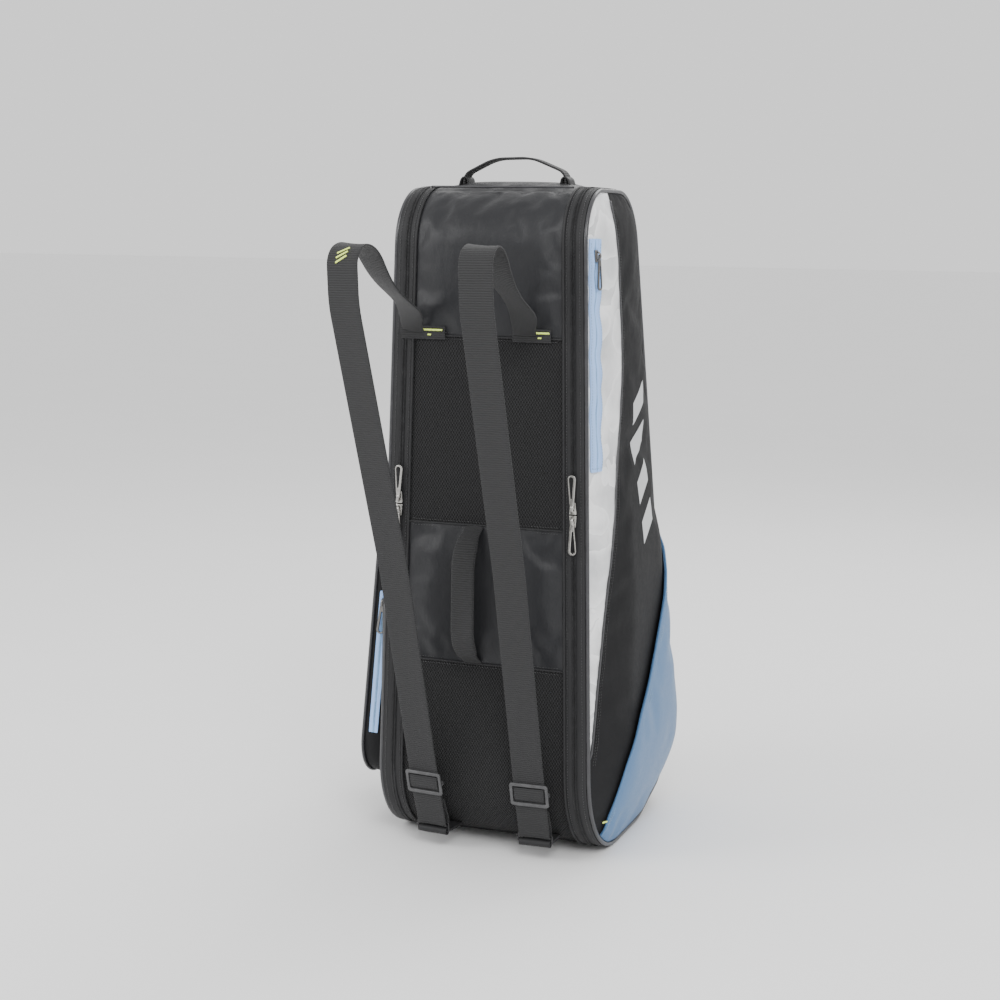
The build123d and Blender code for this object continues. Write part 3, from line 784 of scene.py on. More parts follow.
finish = {
    "charcoal": coatedCloth("charcoalCloth", (0.018, 0.0185, 0.0205), (0.009, 0.009, 0.0105), 0.38,
                            creases=2.2, shine=0.28),
    "black": coatedCloth("blackCloth", (0.019, 0.019, 0.020), (0.008, 0.008, 0.0085), 0.58, creases=1.5,
                         sheen=0.0, shine=0.08),
    "blue": coatedCloth("blueCloth", (0.085, 0.180, 0.335), (0.066, 0.148, 0.285), 0.42, creases=0.5,
                        shine=0.22),
    "tape": coatedCloth("tapeCloth", (0.016, 0.016, 0.017), (0.008, 0.008, 0.009), 0.6, 0.0016, 0.2),
    "blueTape": coatedCloth("blueTapeCloth", (0.34, 0.52, 0.86), (0.28, 0.46, 0.80), 0.5, 0.0014, 0.2,
                            shine=0.2),
    "mesh": spacerMesh(),
    "webbing": webbingCloth(),
    "silver": silverCloth(),
    "nickel": metalFinish("darkNickel", (0.42, 0.41, 0.39), 0.30),
    "darkMetal": metalFinish("gunMetal", (0.17, 0.165, 0.16), 0.30),
    "plastic": mouldedPlastic("buckleCharcoal", (0.050, 0.050, 0.052), 0.30),
    "ringPlastic": mouldedPlastic("ringBlack", (0.010, 0.010, 0.011), 0.45),
    "coil": mouldedPlastic("coilBlack", (0.008, 0.008, 0.009), 0.38),
    "blueCoil": mouldedPlastic("coilBlue", (0.20, 0.36, 0.52), 0.42),
    "piping": pipingFinish("pipingCharcoal", (0.030, 0.030, 0.033), 0.24),
    "thread": threadFinish("blackThread", (0.030, 0.030, 0.032), (0.010, 0.010, 0.011)),
    "blueThread": threadFinish("blueThread", (0.30, 0.43, 0.58), (0.18, 0.27, 0.38)),
    "limeThread": threadFinish("limeThread", (0.86, 1.0, 0.22), (0.66, 0.82, 0.12)),
    "lining": liningCloth("liningGrey", (0.10, 0.10, 0.105), (0.06, 0.06, 0.063)),
    "board": mouldedPlastic("boardGrey", (0.05, 0.05, 0.05), 0.5),
    "silverPrint": coatedCloth("silverPrint", (0.52, 0.53, 0.54), (0.44, 0.45, 0.46), 0.36, creases=0.3),
}
print("materials ready")


# Stitches, tubes and ribbons

def stitchTemplate(length, radius):
    deselectAll()
    bpy.ops.mesh.primitive_uv_sphere_add(segments=6, ring_count=5, radius=1)
    stitch = bpy.context.object
    bpy.ops.object.mode_set(mode="EDIT")
    bpy.ops.transform.resize(value=(radius, radius, length / 2))
    bpy.ops.object.mode_set(mode="OBJECT")
    return stitch


# Stitches along lines of (point, outwards) pairs.
def stitchRow(lines, name, length=0.0023, pitch=0.0034, radius=0.00035):
    matrices = []
    for line in lines:
        points = [p for p, _ in line]
        marks = [0.0]
        for a, b in zip(points, points[1:]):
            marks.append(marks[-1] + (b - a).length)
        count = int(marks[-1] / pitch)
        for k in range(count):
            s = (k + 0.5) * pitch
            i = min(max(int(np.searchsorted(marks, s)) - 1, 0), len(points) - 2)
            t = (s - marks[i]) / (marks[i + 1] - marks[i] or 1)
            point = points[i].lerp(points[i + 1], t)
            run = (points[i + 1] - points[i]).normalized()
            out = line[i][1].normalized()
            side = out.cross(run).normalized()
            turn = Matrix((side, out, run)).transposed().to_4x4()
            turn.translation = point + out * radius * 0.5
            matrices.append(turn)
    return copiesOf(stitchTemplate(length, radius), matrices, name)


# A round cord along a list of points, as a mesh.
def tubeAlong(points, radius, name, closed=False, sides=3):
    curve = bpy.data.curves.new(name, "CURVE")
    curve.dimensions = "3D"
    curve.bevel_depth = radius
    curve.bevel_resolution = sides
    curve.use_fill_caps = not closed
    spline = curve.splines.new("POLY")
    spline.points.add(len(points) - 1)
    for spot, point in zip(spline.points, points):
        spot.co = (*point, 1)
    spline.use_cyclic_u = closed
    piece = bpy.data.objects.new(name, curve)
    bpy.context.scene.collection.objects.link(piece)
    choose(piece)
    bpy.ops.object.convert(target="MESH")
    piece = bpy.context.object
    faceOutwards(piece)
    shade(piece)
    return rename(piece, name)


# Flat webbing along centres; acrosses gives its crosswise direction at each.
def ribbonAlong(centres, acrosses, width, thickness, name, columns=6, crown=0.0):
    rows = len(centres)
    widths = width if isinstance(width, list) else [width] * rows
    marks = [0.0]
    for a, b in zip(centres, centres[1:]):
        marks.append(marks[-1] + (b - a).length)

    def place(u, v):
        i = min(int(round(v * (rows - 1))), rows - 1)
        ahead = centres[min(i + 1, rows - 1)] - centres[max(i - 1, 0)]
        out = ahead.cross(acrosses[i]).normalized()
        side = 2 * u - 1
        point = centres[i] + acrosses[i] * side * widths[i] / 2 + out * crown * (side * side - 0.4)
        return point, (u * widths[i], marks[i])

    piece, _ = sheetGrid(name, columns, rows - 1, place)
    addModifier(piece, "SOLIDIFY", thickness=thickness, offset=0.0)
    addModifier(piece, "BEVEL", width=thickness * 0.3, segments=2, limit_method="ANGLE",
                angle_limit=math.radians(50))
    applyAll(piece)
    shade(piece, 50)
    return piece


# Strap panel, gussets and zip tapes: cloth that follows the outline

wraps = {
    "backTopPanel": {
        "from": (0.0, 0.610), "to": (0.040, 0.779), "crown": 0.0070, "cloth": "charcoal",
        "nodes": ["back_top_panel"], "grid": (30, 36), "slack": 0.020, "slot": "coated_panel"},
    "backUpperMesh": {
        "from": (0.0, 0.393), "to": (0.0, 0.610), "crown": 0.0030, "cloth": "mesh",
        "nodes": ["back_upper_mesh"], "grid": (24, 32), "slack": 0.0, "slot": "spacer_mesh"},
    "backGrabPanel": {
        "from": (0.0, 0.230), "to": (0.0, 0.393), "crown": 0.0060, "cloth": "charcoal",
        "nodes": ["back_grab_panel"], "grid": (30, 26), "slack": 0.018, "slot": "coated_panel"},
    "backLowerMesh": {
        "from": (0.040, 0.0), "to": (0.0, 0.230), "crown": 0.0030, "cloth": "mesh",
        "nodes": ["back_lower_mesh"], "grid": (24, 36), "slack": 0.0, "slot": "spacer_mesh"},
    "topGusset": {
        "from": (bag["wrapDepth"], bag["height"]), "to": (0.206, bag["frontTop"]),
        "crown": 0.0040, "cloth": "charcoal",
        "nodes": ["top_gusset"], "grid": (26, 30), "slack": 0.014, "slot": "coated_panel"},
    "frontGusset": {
        "from": (0.206, bag["frontTop"]), "to": (0.333, bag["frontBottom"]),
        "crown": 0.0075, "cloth": "black",
        "nodes": ["front_gusset"], "grid": (34, 76), "slack": 0.014, "slot": "coated_panel",
        "half": "shellHalf"},
    "bottomGusset": {
        "from": (0.333, bag["frontBottom"]), "to": (bag["wrapDepth"], 0.0), "crown": 0.0, "cloth": "black",
        "nodes": ["bottom_gusset"], "grid": (26, 46), "slack": 0.0, "slot": "coated_panel"},
}
clothThickness = 0.0022
edgeTuck = 0.0006


def outlineMark(spot):
    return outline.nearest(*spot)


def wrapSheet(name, spec):
    start, end = outlineMark(spec["from"]), outlineMark(spec["to"])
    if end < start:
        end += outline.length
    half = bag[spec.get("half", "panelHalf")]
    crown = spec["crown"]

    def place(u, v):
        s = start + (end - start) * v
        spot, out = outline.at(s), outline.outwards(s)
        side = 2 * u - 1
        x = side * (along(half, spot.y) - 0.0004)
        pillow = (1 - abs(side) ** 3.2) * (1 - abs(2 * v - 1) ** 5)
        lift = crown * pillow - edgeTuck
        spot = spot + out * lift
        return rowPoint(spot.x, spot.y, x), (x, s)

    piece, weights = sheetGrid(name, *spec["grid"], place)
    choose(piece)
    middle = outline.outwards((start + end) / 2)
    if sum(p.normal.dot(Vector((0, middle.x, middle.y))) for p in piece.data.polygons) < 0:
        piece.data.flip_normals()
    if spec["slack"]:
        settleCloth(piece, edgeOf(weights), pressure=1.2, slack=spec["slack"], cap=0.0045)
    declareSheet(piece, ["core_lining"])
    thicken(piece, clothThickness)
    return dress(piece, finish[spec["cloth"]], "core", spec["nodes"], spec["slot"])


for wrapName, wrapSpec in wraps.items():
    wrapSheet(wrapName, wrapSpec)
print("strap panel and gussets ready")


# Points over the outline between two spots; x is a tapering pair.
def outlinePoints(fromSpot, toSpot, lift, x, step=0.005):
    start, end = outlineMark(fromSpot), outlineMark(toSpot)
    if end < start:
        end += outline.length
    count = max(2, int((end - start) / step))
    line = []
    for k in range(count + 1):
        s = start + (end - start) * k / count
        spot, out = outline.at(s), outline.outwards(s)
        here = spot + out * lift
        line.append((rowPoint(here.x, here.y, along(x, spot.y)), Vector((0, out.x, out.y))))
    return line


def movedPair(pair, amount, sign=1):
    return (sign * (pair[0] + amount), sign * (pair[1] + amount))


zipStart, zipEnd = (0.3325, 0.124), (0.2065, 0.701)
zipChain = {"gap": 0.0004, "toothPitch": 0.0016, "toothLength": 0.0026, "toothRise": 0.0006}


def tapeSheet(name, inner, outer, body, nodes, cloth="tape"):
    line = outlinePoints(zipStart, zipEnd, 0.0, (0, 0), 0.006)
    rows = len(line) - 1

    def place(u, v):
        point, out = line[min(int(round(v * rows)), rows)]
        height = point.z
        x = along(inner, height) * (1 - u) + along(outer, height) * u
        fold = 0.0007 * math.sin(math.pi * u) - 0.0004
        return Vector((x, point.y, point.z)) + out * fold, (x, v * rows * 0.006)

    piece, _ = sheetGrid(name, 6, rows, place)
    total = sum(p.normal.dot(line[rows // 3][1]) for p in piece.data.polygons[: rows * 2])
    if piece.data.polygons[rows * 2].normal.dot(line[rows // 3][1]) < 0 and total < 0:
        piece.data.flip_normals()
    thicken(piece, 0.0014, 0)
    return dress(piece, finish[cloth], body, nodes, "zip_tape")


# One coil turn: a short bevelled bar.
def toothTemplate():
    deselectAll()
    bpy.ops.mesh.primitive_cube_add(size=1)
    tooth = bpy.context.object
    bpy.ops.object.mode_set(mode="EDIT")
    bpy.ops.transform.resize(value=(zipChain["toothLength"], 0.0009, 0.0010))
    bpy.ops.mesh.bevel(offset=0.00028, segments=1)
    bpy.ops.object.mode_set(mode="OBJECT")
    return tooth


# Teeth along a line of (point, outwards); each row's teeth lie between the other's.
def coilRow(name, line, sign, body, material):
    marks = [0.0]
    for (a, _), (b, _) in zip(line, line[1:]):
        marks.append(marks[-1] + (b - a).length)
    pitch = zipChain["toothPitch"]
    matrices = []
    for k in range(int(marks[-1] / pitch)):
        s = (k + (0.5 if sign > 0 else 0.0)) * pitch
        i = min(max(int(np.searchsorted(marks, s)) - 1, 0), len(line) - 2)
        t = (s - marks[i]) / (marks[i + 1] - marks[i])
        point = line[i][0].lerp(line[i + 1][0], t)
        run = (line[i + 1][0] - line[i][0]).normalized()
        out = line[i][1]
        side = out.cross(run).normalized()
        turn = Matrix((side, out, run)).transposed().to_4x4()
        turn.translation = point + out * zipChain["toothRise"]
        matrices.append(turn)
    piece = copiesOf(toothTemplate(), matrices, name)
    shade(piece, 30)
    return dress(piece, finish[material], body, slot="zip_tape")


def mainZip(side, sign):
    halfTooth = zipChain["toothLength"] / 2 + zipChain["gap"] / 2
    inner = [movedPair(bag["panelHalf"], 0.0002, sign), movedPair(zipHalf, -zipChain["gap"], sign)]
    outer = [movedPair(zipHalf, zipChain["gap"], sign), movedPair(bag["shellHalf"], 0.0004, sign)]
    tapeSheet(f"{side}InnerTape", *inner, "core", [f"{side}_inner_zip_tape"])
    tapeSheet(f"{side}OuterTape", *outer, f"{side}_door", [f"{side}_outer_zip_tape"])
    for which, shift, body in (("Inner", -halfTooth, "core"), ("Outer", halfTooth, f"{side}_door")):
        line = outlinePoints(zipStart, zipEnd, 0.0004, movedPair(zipHalf, shift, sign), 0.006)
        coilRow(f"{side}{which}Coil", line, shift, body, "coil")
    cordLine = outlinePoints(zipStart, zipEnd, 0.0006, movedPair(bag["panelHalf"], 0.0008, sign))
    cord = tubeAlong([p for p, _ in cordLine], 0.0015, f"{side}PanelCord")
    dress(cord, finish["tape"], "core", slot="zip_tape")
    rows = []
    for shift, body in ((0.0042, "core"), (-0.0042, "core")):
        pair = bag["panelHalf"]
        rows.append(outlinePoints(zipStart, zipEnd, 0.0006, movedPair(pair, shift, sign)))
    dress(stitchRow(rows[:1], f"{side}InnerTapeStitches"), finish["thread"], "core", slot="zip_tape")
    doorRow = outlinePoints(zipStart, zipEnd, 0.0006, movedPair(bag["shellHalf"], -0.0035, sign))
    dress(stitchRow([doorRow], f"{side}OuterTapeStitches"), finish["thread"], f"{side}_door",
          slot="zip_tape")


for sideName, sideSign in (("right", 1), ("left", -1)):
    mainZip(sideName, sideSign)
print("main zips ready")


# Side walls

silverSeam = [(0.020, -0.016), (0.130, 0.006), (0.224, 0.017), (0.341, 0.034), (0.430, 0.060),
              (0.504, 0.086), (0.585, 0.098), (0.702, 0.085), (0.799, 0.082)]
pocketHem = [(0.2757, 0.362), (0.234, 0.333), (0.196, 0.280), (0.134, 0.200), (0.095, 0.162),
             (0.057, 0.110), (0.042, 0.050), (0.041, 0.0285)]
sideWall = {"rim": 0.0046, "edgeRound": 0.085, "lift": 0.0030, "upperBulge": 0.012,
            "lowerBulge": 0.0265, "columns": (12, 26), "rows": 96, "silverFoot": 0.127, "thickness": 0.0022}


# Smooth curve through a few points, t from 0 to 1.
def curveThrough(points, t):
    count = len(points) - 1
    i = min(int(t * count), count - 1)
    f = t * count - i
    p = [Vector(points[min(max(i + k, 0), count)]) for k in (-1, 0, 1, 2)]
    return 0.5 * ((2 * p[1]) + (p[2] - p[0]) * f + (2 * p[0] - 5 * p[1] + 4 * p[2] - p[3]) * f**2
                  + (3 * p[1] - p[0] - 3 * p[2] + p[3]) * f**3)


seamSamples = [curveThrough(silverSeam, i / 300) for i in range(301)]


def seamDepth(height):
    return float(np.interp(height, [p.x for p in seamSamples], [p.y for p in seamSamples]))


sideOutline = measuredPath(filletPath(insetCorners(bag["corners"], sideWall["rim"])), True)
sideArray = np.array([tuple(p) for p in sideOutline.points])


@functools.cache
def sideSpan(height):
    return spanAt(sideArray, height)


# How far out the soft side wall stands, right side positive.
def sideX(depth, height, lift=0.0):
    inside = edgeDistance(sideArray, depth, height)
    edge = 1 - (1 - min(inside / sideWall["edgeRound"], 1)) ** 2.1
    low = smooth(0.50 - height, 0.0, 0.17)
    floor = smooth(height, 0.0, 0.14)
    bulge = sideWall["upperBulge"] + (sideWall["lowerBulge"] - sideWall["upperBulge"]) * low
    return along(bag["shellHalf"], height) + sideWall["lift"] + edge * bulge * (0.3 + 0.7 * floor) + lift


def sideRows(foot):
    low, high = max(sideArray[:, 1].min() + 0.0003, foot), sideArray[:, 1].max() - 0.0003
    rows = []
    for i in range(sideWall["rows"] + 1):
        t = i / sideWall["rows"]
        eased = 0.55 * t + 0.45 * (1 - math.cos(math.pi * t)) / 2
        rows.append(low + (high - low) * eased)
    return rows


# A panel of the side wall between two depth functions of height.
def sidePanel(name, sign, fromEdge, toEdge, columns, foot, slack):
    rows = sideRows(foot)

    def place(u, v):
        height = rows[min(int(round(v * sideWall["rows"])), sideWall["rows"])]
        first, last = sideSpan(height)
        a = min(max(fromEdge(height, first, last), first), last - 0.0008)
        b = max(min(toEdge(height, first, last), last), a + 0.0006)
        depth = a + (b - a) * u
        return rowPoint(depth, height, sign * sideX(depth, height)), (depth, height)

    piece, weights = sheetGrid(name, columns, sideWall["rows"], place)
    if sum(p.normal.x for p in piece.data.polygons) * sign < 0:
        piece.data.flip_normals()
    if slack:
        settleCloth(piece, edgeOf(weights, margin=0.005), pressure=1.0, slack=slack, cap=0.004)
    declareSheet(piece, [nodeUnder(sign)])
    thicken(piece, sideWall["thickness"])
    return piece


def nodeUnder(sign):
    return "right_lining" if sign > 0 else "left_lining"


# The settled side walls, so that trim lies on the cloth as it ended up
skins = {}


def keepSkin(sign, pieces):
    points, faces = [], []
    for piece in pieces:
        start = len(points)
        points.extend(v.co.copy() for v in piece.data.vertices)
        faces.extend([start + i for i in p.vertices] for p in piece.data.polygons)
    skins[sign] = BVHTree.FromPolygons(points, faces)


def skinPoint(depth, height, sign, lift=0.0):
    start = rowPoint(depth, height, sign * 0.4)
    hit = skins[sign].ray_cast(start, Vector((-sign, 0, 0)))[0]
    x = abs(hit.x) if hit else sideX(depth, height)
    return rowPoint(depth, height, sign * (x + lift))


def seamSpots(low, high, shift=0.0, step=0.006):
    spots = []
    height = low
    while height <= high:
        first, last = sideSpan(height)
        depth = seamDepth(height) + shift
        if first + 0.001 < depth < last - 0.001:
            spots.append((depth, height))
        height += step
    return spots


def sideLine(spots, sign, lift):
    return [(skinPoint(d, z, sign, lift), Vector((sign, 0, 0))) for d, z in spots]


def sideWallPieces(side, sign):
    body = f"{side}_door"
    silver = sidePanel(f"{side}SilverPanel", sign, lambda z, a, b: a, lambda z, a, b: seamDepth(z),
                       sideWall["columns"][0], sideWall["silverFoot"], 0.012)
    black = sidePanel(f"{side}BlackPanel", sign, lambda z, a, b: seamDepth(z), lambda z, a, b: b,
                      sideWall["columns"][1], 0.0, 0.010)
    dress(silver, finish["silver"], body, [f"{side}_silver_panel"], "silver_panel")
    dress(black, finish["black"], body, [f"{side}_side_panel"], "coated_panel")
    keepSkin(sign, [silver, black])
    spots = seamSpots(sideWall["silverFoot"] - 0.01, 0.770)
    cord = tubeAlong([p for p, _ in sideLine(spots, sign, 0.0004)], 0.0016, f"{side}SeamPiping")
    dress(cord, finish["piping"], body, slot="piping")
    rows = [sideLine(seamSpots(0.12, 0.765, shift), sign, 0.0002) for shift in (0.0048, 0.0075)]
    dress(stitchRow(rows, f"{side}SeamStitches"), finish["thread"], body, slot="coated_panel")
    refinish(f"{side}_piping", "piping")


for sideName, sideSign in (("right", 1), ("left", -1)):
    sideWallPieces(sideName, sideSign)
print("side walls ready")


# Raised blue pocket on the lower front corner of the right side

frontPocket = {"lift": 0.0024, "puff": 0.004, "grid": (46, 20), "thickness": 0.002, "hem": 0.0013}


def frontPocketPieces():
    hem = [curveThrough(pocketHem, i / 200) for i in range(201)]
    inside = measuredPath(filletPath(insetCorners(bag["corners"], sideWall["rim"] + 0.0004)), True)
    start, end = inside.nearest(*hem[0]), inside.nearest(*hem[-1])
    if end < start:
        end += inside.length

    def place(u, v):
        rim = inside.at(start + (end - start) * u)
        top = hem[int(round(u * 200))]
        spot = top.lerp(rim, v)
        opening = math.sin(math.pi * u) * (1 - v) ** 2
        puff = frontPocket["puff"] * math.sin(math.pi * min(v * 1.0, 1)) * math.sin(math.pi * u)
        lift = frontPocket["lift"] * (1 - v) + puff + 0.0030 * opening + 0.0006
        return skinPoint(spot.x, spot.y, 1, lift), (spot.x, spot.y)

    piece, weights = sheetGrid("rightFrontPocket", *frontPocket["grid"], place)
    if sum(p.normal.x for p in piece.data.polygons) < 0:
        piece.data.flip_normals()
    settleCloth(piece, edgeOf(weights, margin=0.012), pressure=0.8, slack=0.006, cap=0.003)
    declareSheet(piece, ["right_lining"])
    thicken(piece, frontPocket["thickness"])
    dress(piece, finish["blue"], "right_door", ["right_front_pocket"], "blue_panel")
    rim = [place(i / 120, 0.0)[0] for i in range(121)]
    roll = tubeAlong(rim, frontPocket["hem"], "rightPocketHem")
    dress(roll, finish["blue"], "right_door", slot="blue_panel")
    rows = []
    for v in (0.045, 0.075):
        rows.append([(place(0.02 + 0.96 * i / 120, v)[0] + Vector((0.0004, 0, 0)), Vector((1, 0, 0)))
                     for i in range(121)])
    dress(stitchRow(rows, "rightPocketStitches"), finish["blueThread"], "right_door", slot="blue_panel")


frontPocketPieces()
print("front pocket ready")


# Light blue pocket zip on the right side

sideZip = {"back": 0.0072, "width": 0.0205, "bottom": 0.461, "top": 0.722, "lift": 0.0022}


# Two cloth tapes, one mesh, with a coil along the middle.
def sideZipPieces():
    spec = sideZip
    length = spec["top"] - spec["bottom"]

    def place(u, v):
        depth = spec["back"] + spec["width"] * u
        height = spec["bottom"] + length * v
        groove = -0.0012 * math.exp(-((u - 0.5) / 0.05) ** 2)
        fold = 0.0010 * (math.exp(-((u - 0.36) / 0.05) ** 2) + math.exp(-((u - 0.64) / 0.05) ** 2))
        return skinPoint(depth, height, 1, spec["lift"] + groove + fold), (depth, height)

    piece, _ = sheetGrid("rightPocketZipTape", 28, 50, place)
    if sum(p.normal.x for p in piece.data.polygons) < 0:
        piece.data.flip_normals()
    thicken(piece, 0.0016)
    dress(piece, finish["blueTape"], "right_door", ["right_pocket_zip"], "blue_zip")
    line = []
    for i in range(61):
        point, _ = place(0.5, i / 60)
        line.append((point + Vector((0.0002, 0, 0)), Vector((1, 0, 0))))
    coilRow("rightPocketCoil", line, 1, "right_door", "blueCoil")
    rows = []
    for u in (0.08, 0.92):
        rows.append([(place(u, 0.01 + 0.98 * i / 60)[0] + Vector((0.0003, 0, 0)), Vector((1, 0, 0)))
                     for i in range(61)])
    rows.append([(place(0.05 + 0.9 * i / 10, 0.015)[0] + Vector((0.0003, 0, 0)), Vector((1, 0, 0)))
                 for i in range(11)])
    dress(stitchRow(rows, "rightPocketZipStitches"), finish["blueThread"], "right_door",
          slot="blue_zip")


sideZipPieces()
print("right pocket zip ready")


# Accessory pocket on the left side

case = {"edge": (0.178, 0.112), "back": 0.034, "bottom": 0.064, "top": 0.454, "frontInset": 0.026,
        "radius": 0.054, "bulge": 0.006, "piping": 0.0022, "zipInset": 0.007, "zipWidth": 0.012,
        "zipBottom": 0.124, "zipTop": 0.300}


def frontDepth(height):
    (topDepth, topHeight, _), (footDepth, footHeight, _) = bag["corners"][2], bag["corners"][3]
    return footDepth - (footDepth - topDepth) * (height - footHeight) / (topHeight - footHeight)


caseCorners = [
    (case["back"], case["bottom"], case["radius"]),
    (case["back"], case["top"], case["radius"]),
    (frontDepth(case["top"]) - case["frontInset"], case["top"], case["radius"]),
    (frontDepth(case["bottom"]) - case["frontInset"], case["bottom"], case["radius"]),
]
casePath = measuredPath(filletPath(caseCorners), True)
caseArray = np.array([tuple(p) for p in casePath.points])


def casePieces():
    rows = 150

    def wallPlace(u, v):
        s = casePath.length * (v % 1.0)
        spot, out = casePath.at(s), casePath.outwards(s)
        inner = sideX(spot.x, spot.y) - 0.002
        outer = along(case["edge"], spot.y)
        x = inner + (outer - inner) * u
        soft = 0.0022 * math.sin(math.pi * u)
        spot = spot + out * soft
        return rowPoint(spot.x, spot.y, -x), (x, s)

    wall, weights = sheetGrid("leftCaseWall", 8, rows, wallPlace)
    choose(wall)
    bpy.ops.object.mode_set(mode="EDIT")
    bpy.ops.mesh.select_all(action="SELECT")
    bpy.ops.mesh.remove_doubles(threshold=1e-5)
    bpy.ops.object.mode_set(mode="OBJECT")
    centre = Vector((-0.14, 0.03, 0.25))
    if sum(p.normal.dot(p.center - centre) for p in wall.data.polygons) < 0:
        wall.data.flip_normals()
    thicken(wall, 0.002)
    dress(wall, finish["black"], "left_door", ["left_pocket_gusset"], "coated_panel")

    low, high = caseArray[:, 1].min() + 0.0003, caseArray[:, 1].max() - 0.0003
    faceRows = 60
    span = functools.cache(lambda z: spanAt(caseArray, z))

    def facePlace(u, v):
        eased = 0.55 * v + 0.45 * (1 - math.cos(math.pi * v)) / 2
        height = low + (high - low) * eased
        first, last = span(height)
        depth = first + (last - first) * u
        inside = edgeDistance(caseArray, depth, height)
        puff = case["bulge"] * (1 - (1 - min(inside / 0.06, 1)) ** 2)
        return rowPoint(depth, height, -along(case["edge"], height) - puff), (depth, height)

    face, weights = sheetGrid("leftCaseFace", 32, faceRows, facePlace)
    if sum(p.normal.x for p in face.data.polygons) > 0:
        face.data.flip_normals()
    settleCloth(face, edgeOf(weights, margin=0.012), pressure=1.0, slack=0.010, cap=0.003)
    declareSheet(face, ["left_lining"])
    thicken(face, 0.0022)
    dress(face, finish["black"], "left_door", ["left_pocket_face"], "coated_panel")

    rim = []
    for i in range(260):
        spot = casePath.at(casePath.length * i / 260)
        out = casePath.outwards(casePath.length * i / 260)
        rim.append(rowPoint(spot.x + out.x * 0.001, spot.y + out.y * 0.001,
                            -along(case["edge"], spot.y) - 0.0004))
    cord = tubeAlong(rim, case["piping"], "leftCasePiping", True)
    dress(cord, finish["piping"], "left_door", ["left_pocket_piping"], "piping")

    def zipPlace(u, v):
        height = case["zipBottom"] + (case["zipTop"] - case["zipBottom"]) * v
        x = along(case["edge"], height) - case["zipInset"] - case["zipWidth"] * (1 - u)
        groove = -0.0008 * math.exp(-((u - 0.5) / 0.08) ** 2)
        soft = 0.0022 * math.sin(math.pi * min(max((x - 0.125) / 0.04, 0), 1)) + 0.0012
        return rowPoint(case["back"] - soft - groove, height, -x), (x, height)

    tape, _ = sheetGrid("leftCaseZipTape", 14, 40, zipPlace)
    if sum(p.normal.y for p in tape.data.polygons) > 0:
        tape.data.flip_normals()
    thicken(tape, 0.0012)
    dress(tape, finish["blueTape"], "left_door", ["left_pocket_zip"], "blue_zip")
    line = [(zipPlace(0.5, i / 50)[0] + Vector((0, -0.0002, 0)), Vector((0, -1, 0))) for i in range(51)]
    coilRow("leftCaseCoil", line, 1, "left_door", "blueCoil")


casePieces()
print("accessory pocket ready")


# Linings, divider and base board

def innerSheet(name, x, inset, sign, body, quilt, thickness):
    path = measuredPath(filletPath(insetCorners(bag["corners"], inset)), True)
    array = np.array([tuple(p) for p in path.points])
    low, high = array[:, 1].min() + 0.0005, array[:, 1].max() - 0.0005
    span = functools.cache(lambda z: spanAt(array, z))

    def place(u, v):
        eased = 0.6 * v + 0.4 * (1 - math.cos(math.pi * v)) / 2
        height = low + (high - low) * eased
        first, last = span(height)
        depth = first + (last - first) * u
        channel = abs(math.sin(math.pi * (depth + height * 0.6) / 0.055))
        channel = min(channel, abs(math.sin(math.pi * (depth - height * 0.6) / 0.055)))
        puff = quilt * min(channel * 2.2, 1.0) * min(edgeDistance(array, depth, height) / 0.01, 1)
        return rowPoint(depth, height, sign * (x(height) + puff)), (depth, height)

    piece, _ = sheetGrid(name, 56, 120, place)
    if sum(p.normal.x for p in piece.data.polygons) * sign * (-1 if body != "core" else 1) < 0:
        piece.data.flip_normals()
    thicken(piece, thickness, 0, -1.0)
    return piece


def liningPieces():
    halves = []
    for sign in (1, -1):
        halves.append(innerSheet("dividerFace", lambda z: 0.0014, 0.0052, sign, "core", 0.0016, 0.0012))
    divider = joined(halves, "centreDivider")
    dress(divider, finish["lining"], "core", ["centre_divider"], "lining")
    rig.padded(divider, fill=0.3)
    for side, sign in (("right", 1), ("left", -1)):
        lining = innerSheet(f"{side}DoorLining", lambda z: along(bag["shellHalf"], z) - 0.0016, 0.0125,
                            sign, f"{side}_door", -0.0018, 0.0008)
        dress(lining, finish["lining"], f"{side}_door", [f"{side}_lining"], "lining")
    refinish("core_lining", "lining")
    refinish("base_board", "board")


liningPieces()
print("linings ready")


# Shoulder straps

strap = {
    "route": [(0.000, 0.612, 0), (-0.100, 0.669, 0.120), (-0.140, 0.715, 0.050),
              (-0.188, 0.712, 0.022), (-0.184, 0.650, 0.120), (-0.086, 0.355, 0.400),
              (-0.012, 0.072, 0.040)],
    "width": 0.038, "thickness": 0.0019, "pivotDepth": -0.006, "anchorHeight": 0.612,
    "ringDepth": 0.004, "ringHeight": 0.022, "ringSpan": 0.0105, "loop": 0.0040,
    "adjusterHeight": 0.086,
    "anchorX": {"left": -0.070, "right": 0.058},
    "ringX": {"left": -0.064, "right": 0.066},
    "twist": {"left": -20.0, "right": -22.0},
    "endShift": {"left": -0.021, "right": -0.012},
    "endWidth": 0.72,
    "swing": {"left": -7.5, "right": 0.0},
}


def strapPlace(side):
    drop = strap["anchorHeight"] - strap["ringHeight"]
    lean = math.atan2(strap["anchorX"][side] - strap["ringX"][side], drop)
    anchor = rowPoint(strap["pivotDepth"], strap["anchorHeight"], strap["anchorX"][side])
    return (Matrix.Translation(anchor) @ Matrix.Rotation(lean, 4, "Y")
            @ Matrix.Rotation(math.radians(strap["swing"][side]), 4, "Z"))


def strapLocal(depth, height):
    return Vector((0, depth - strap["pivotDepth"], height - strap["anchorHeight"]))


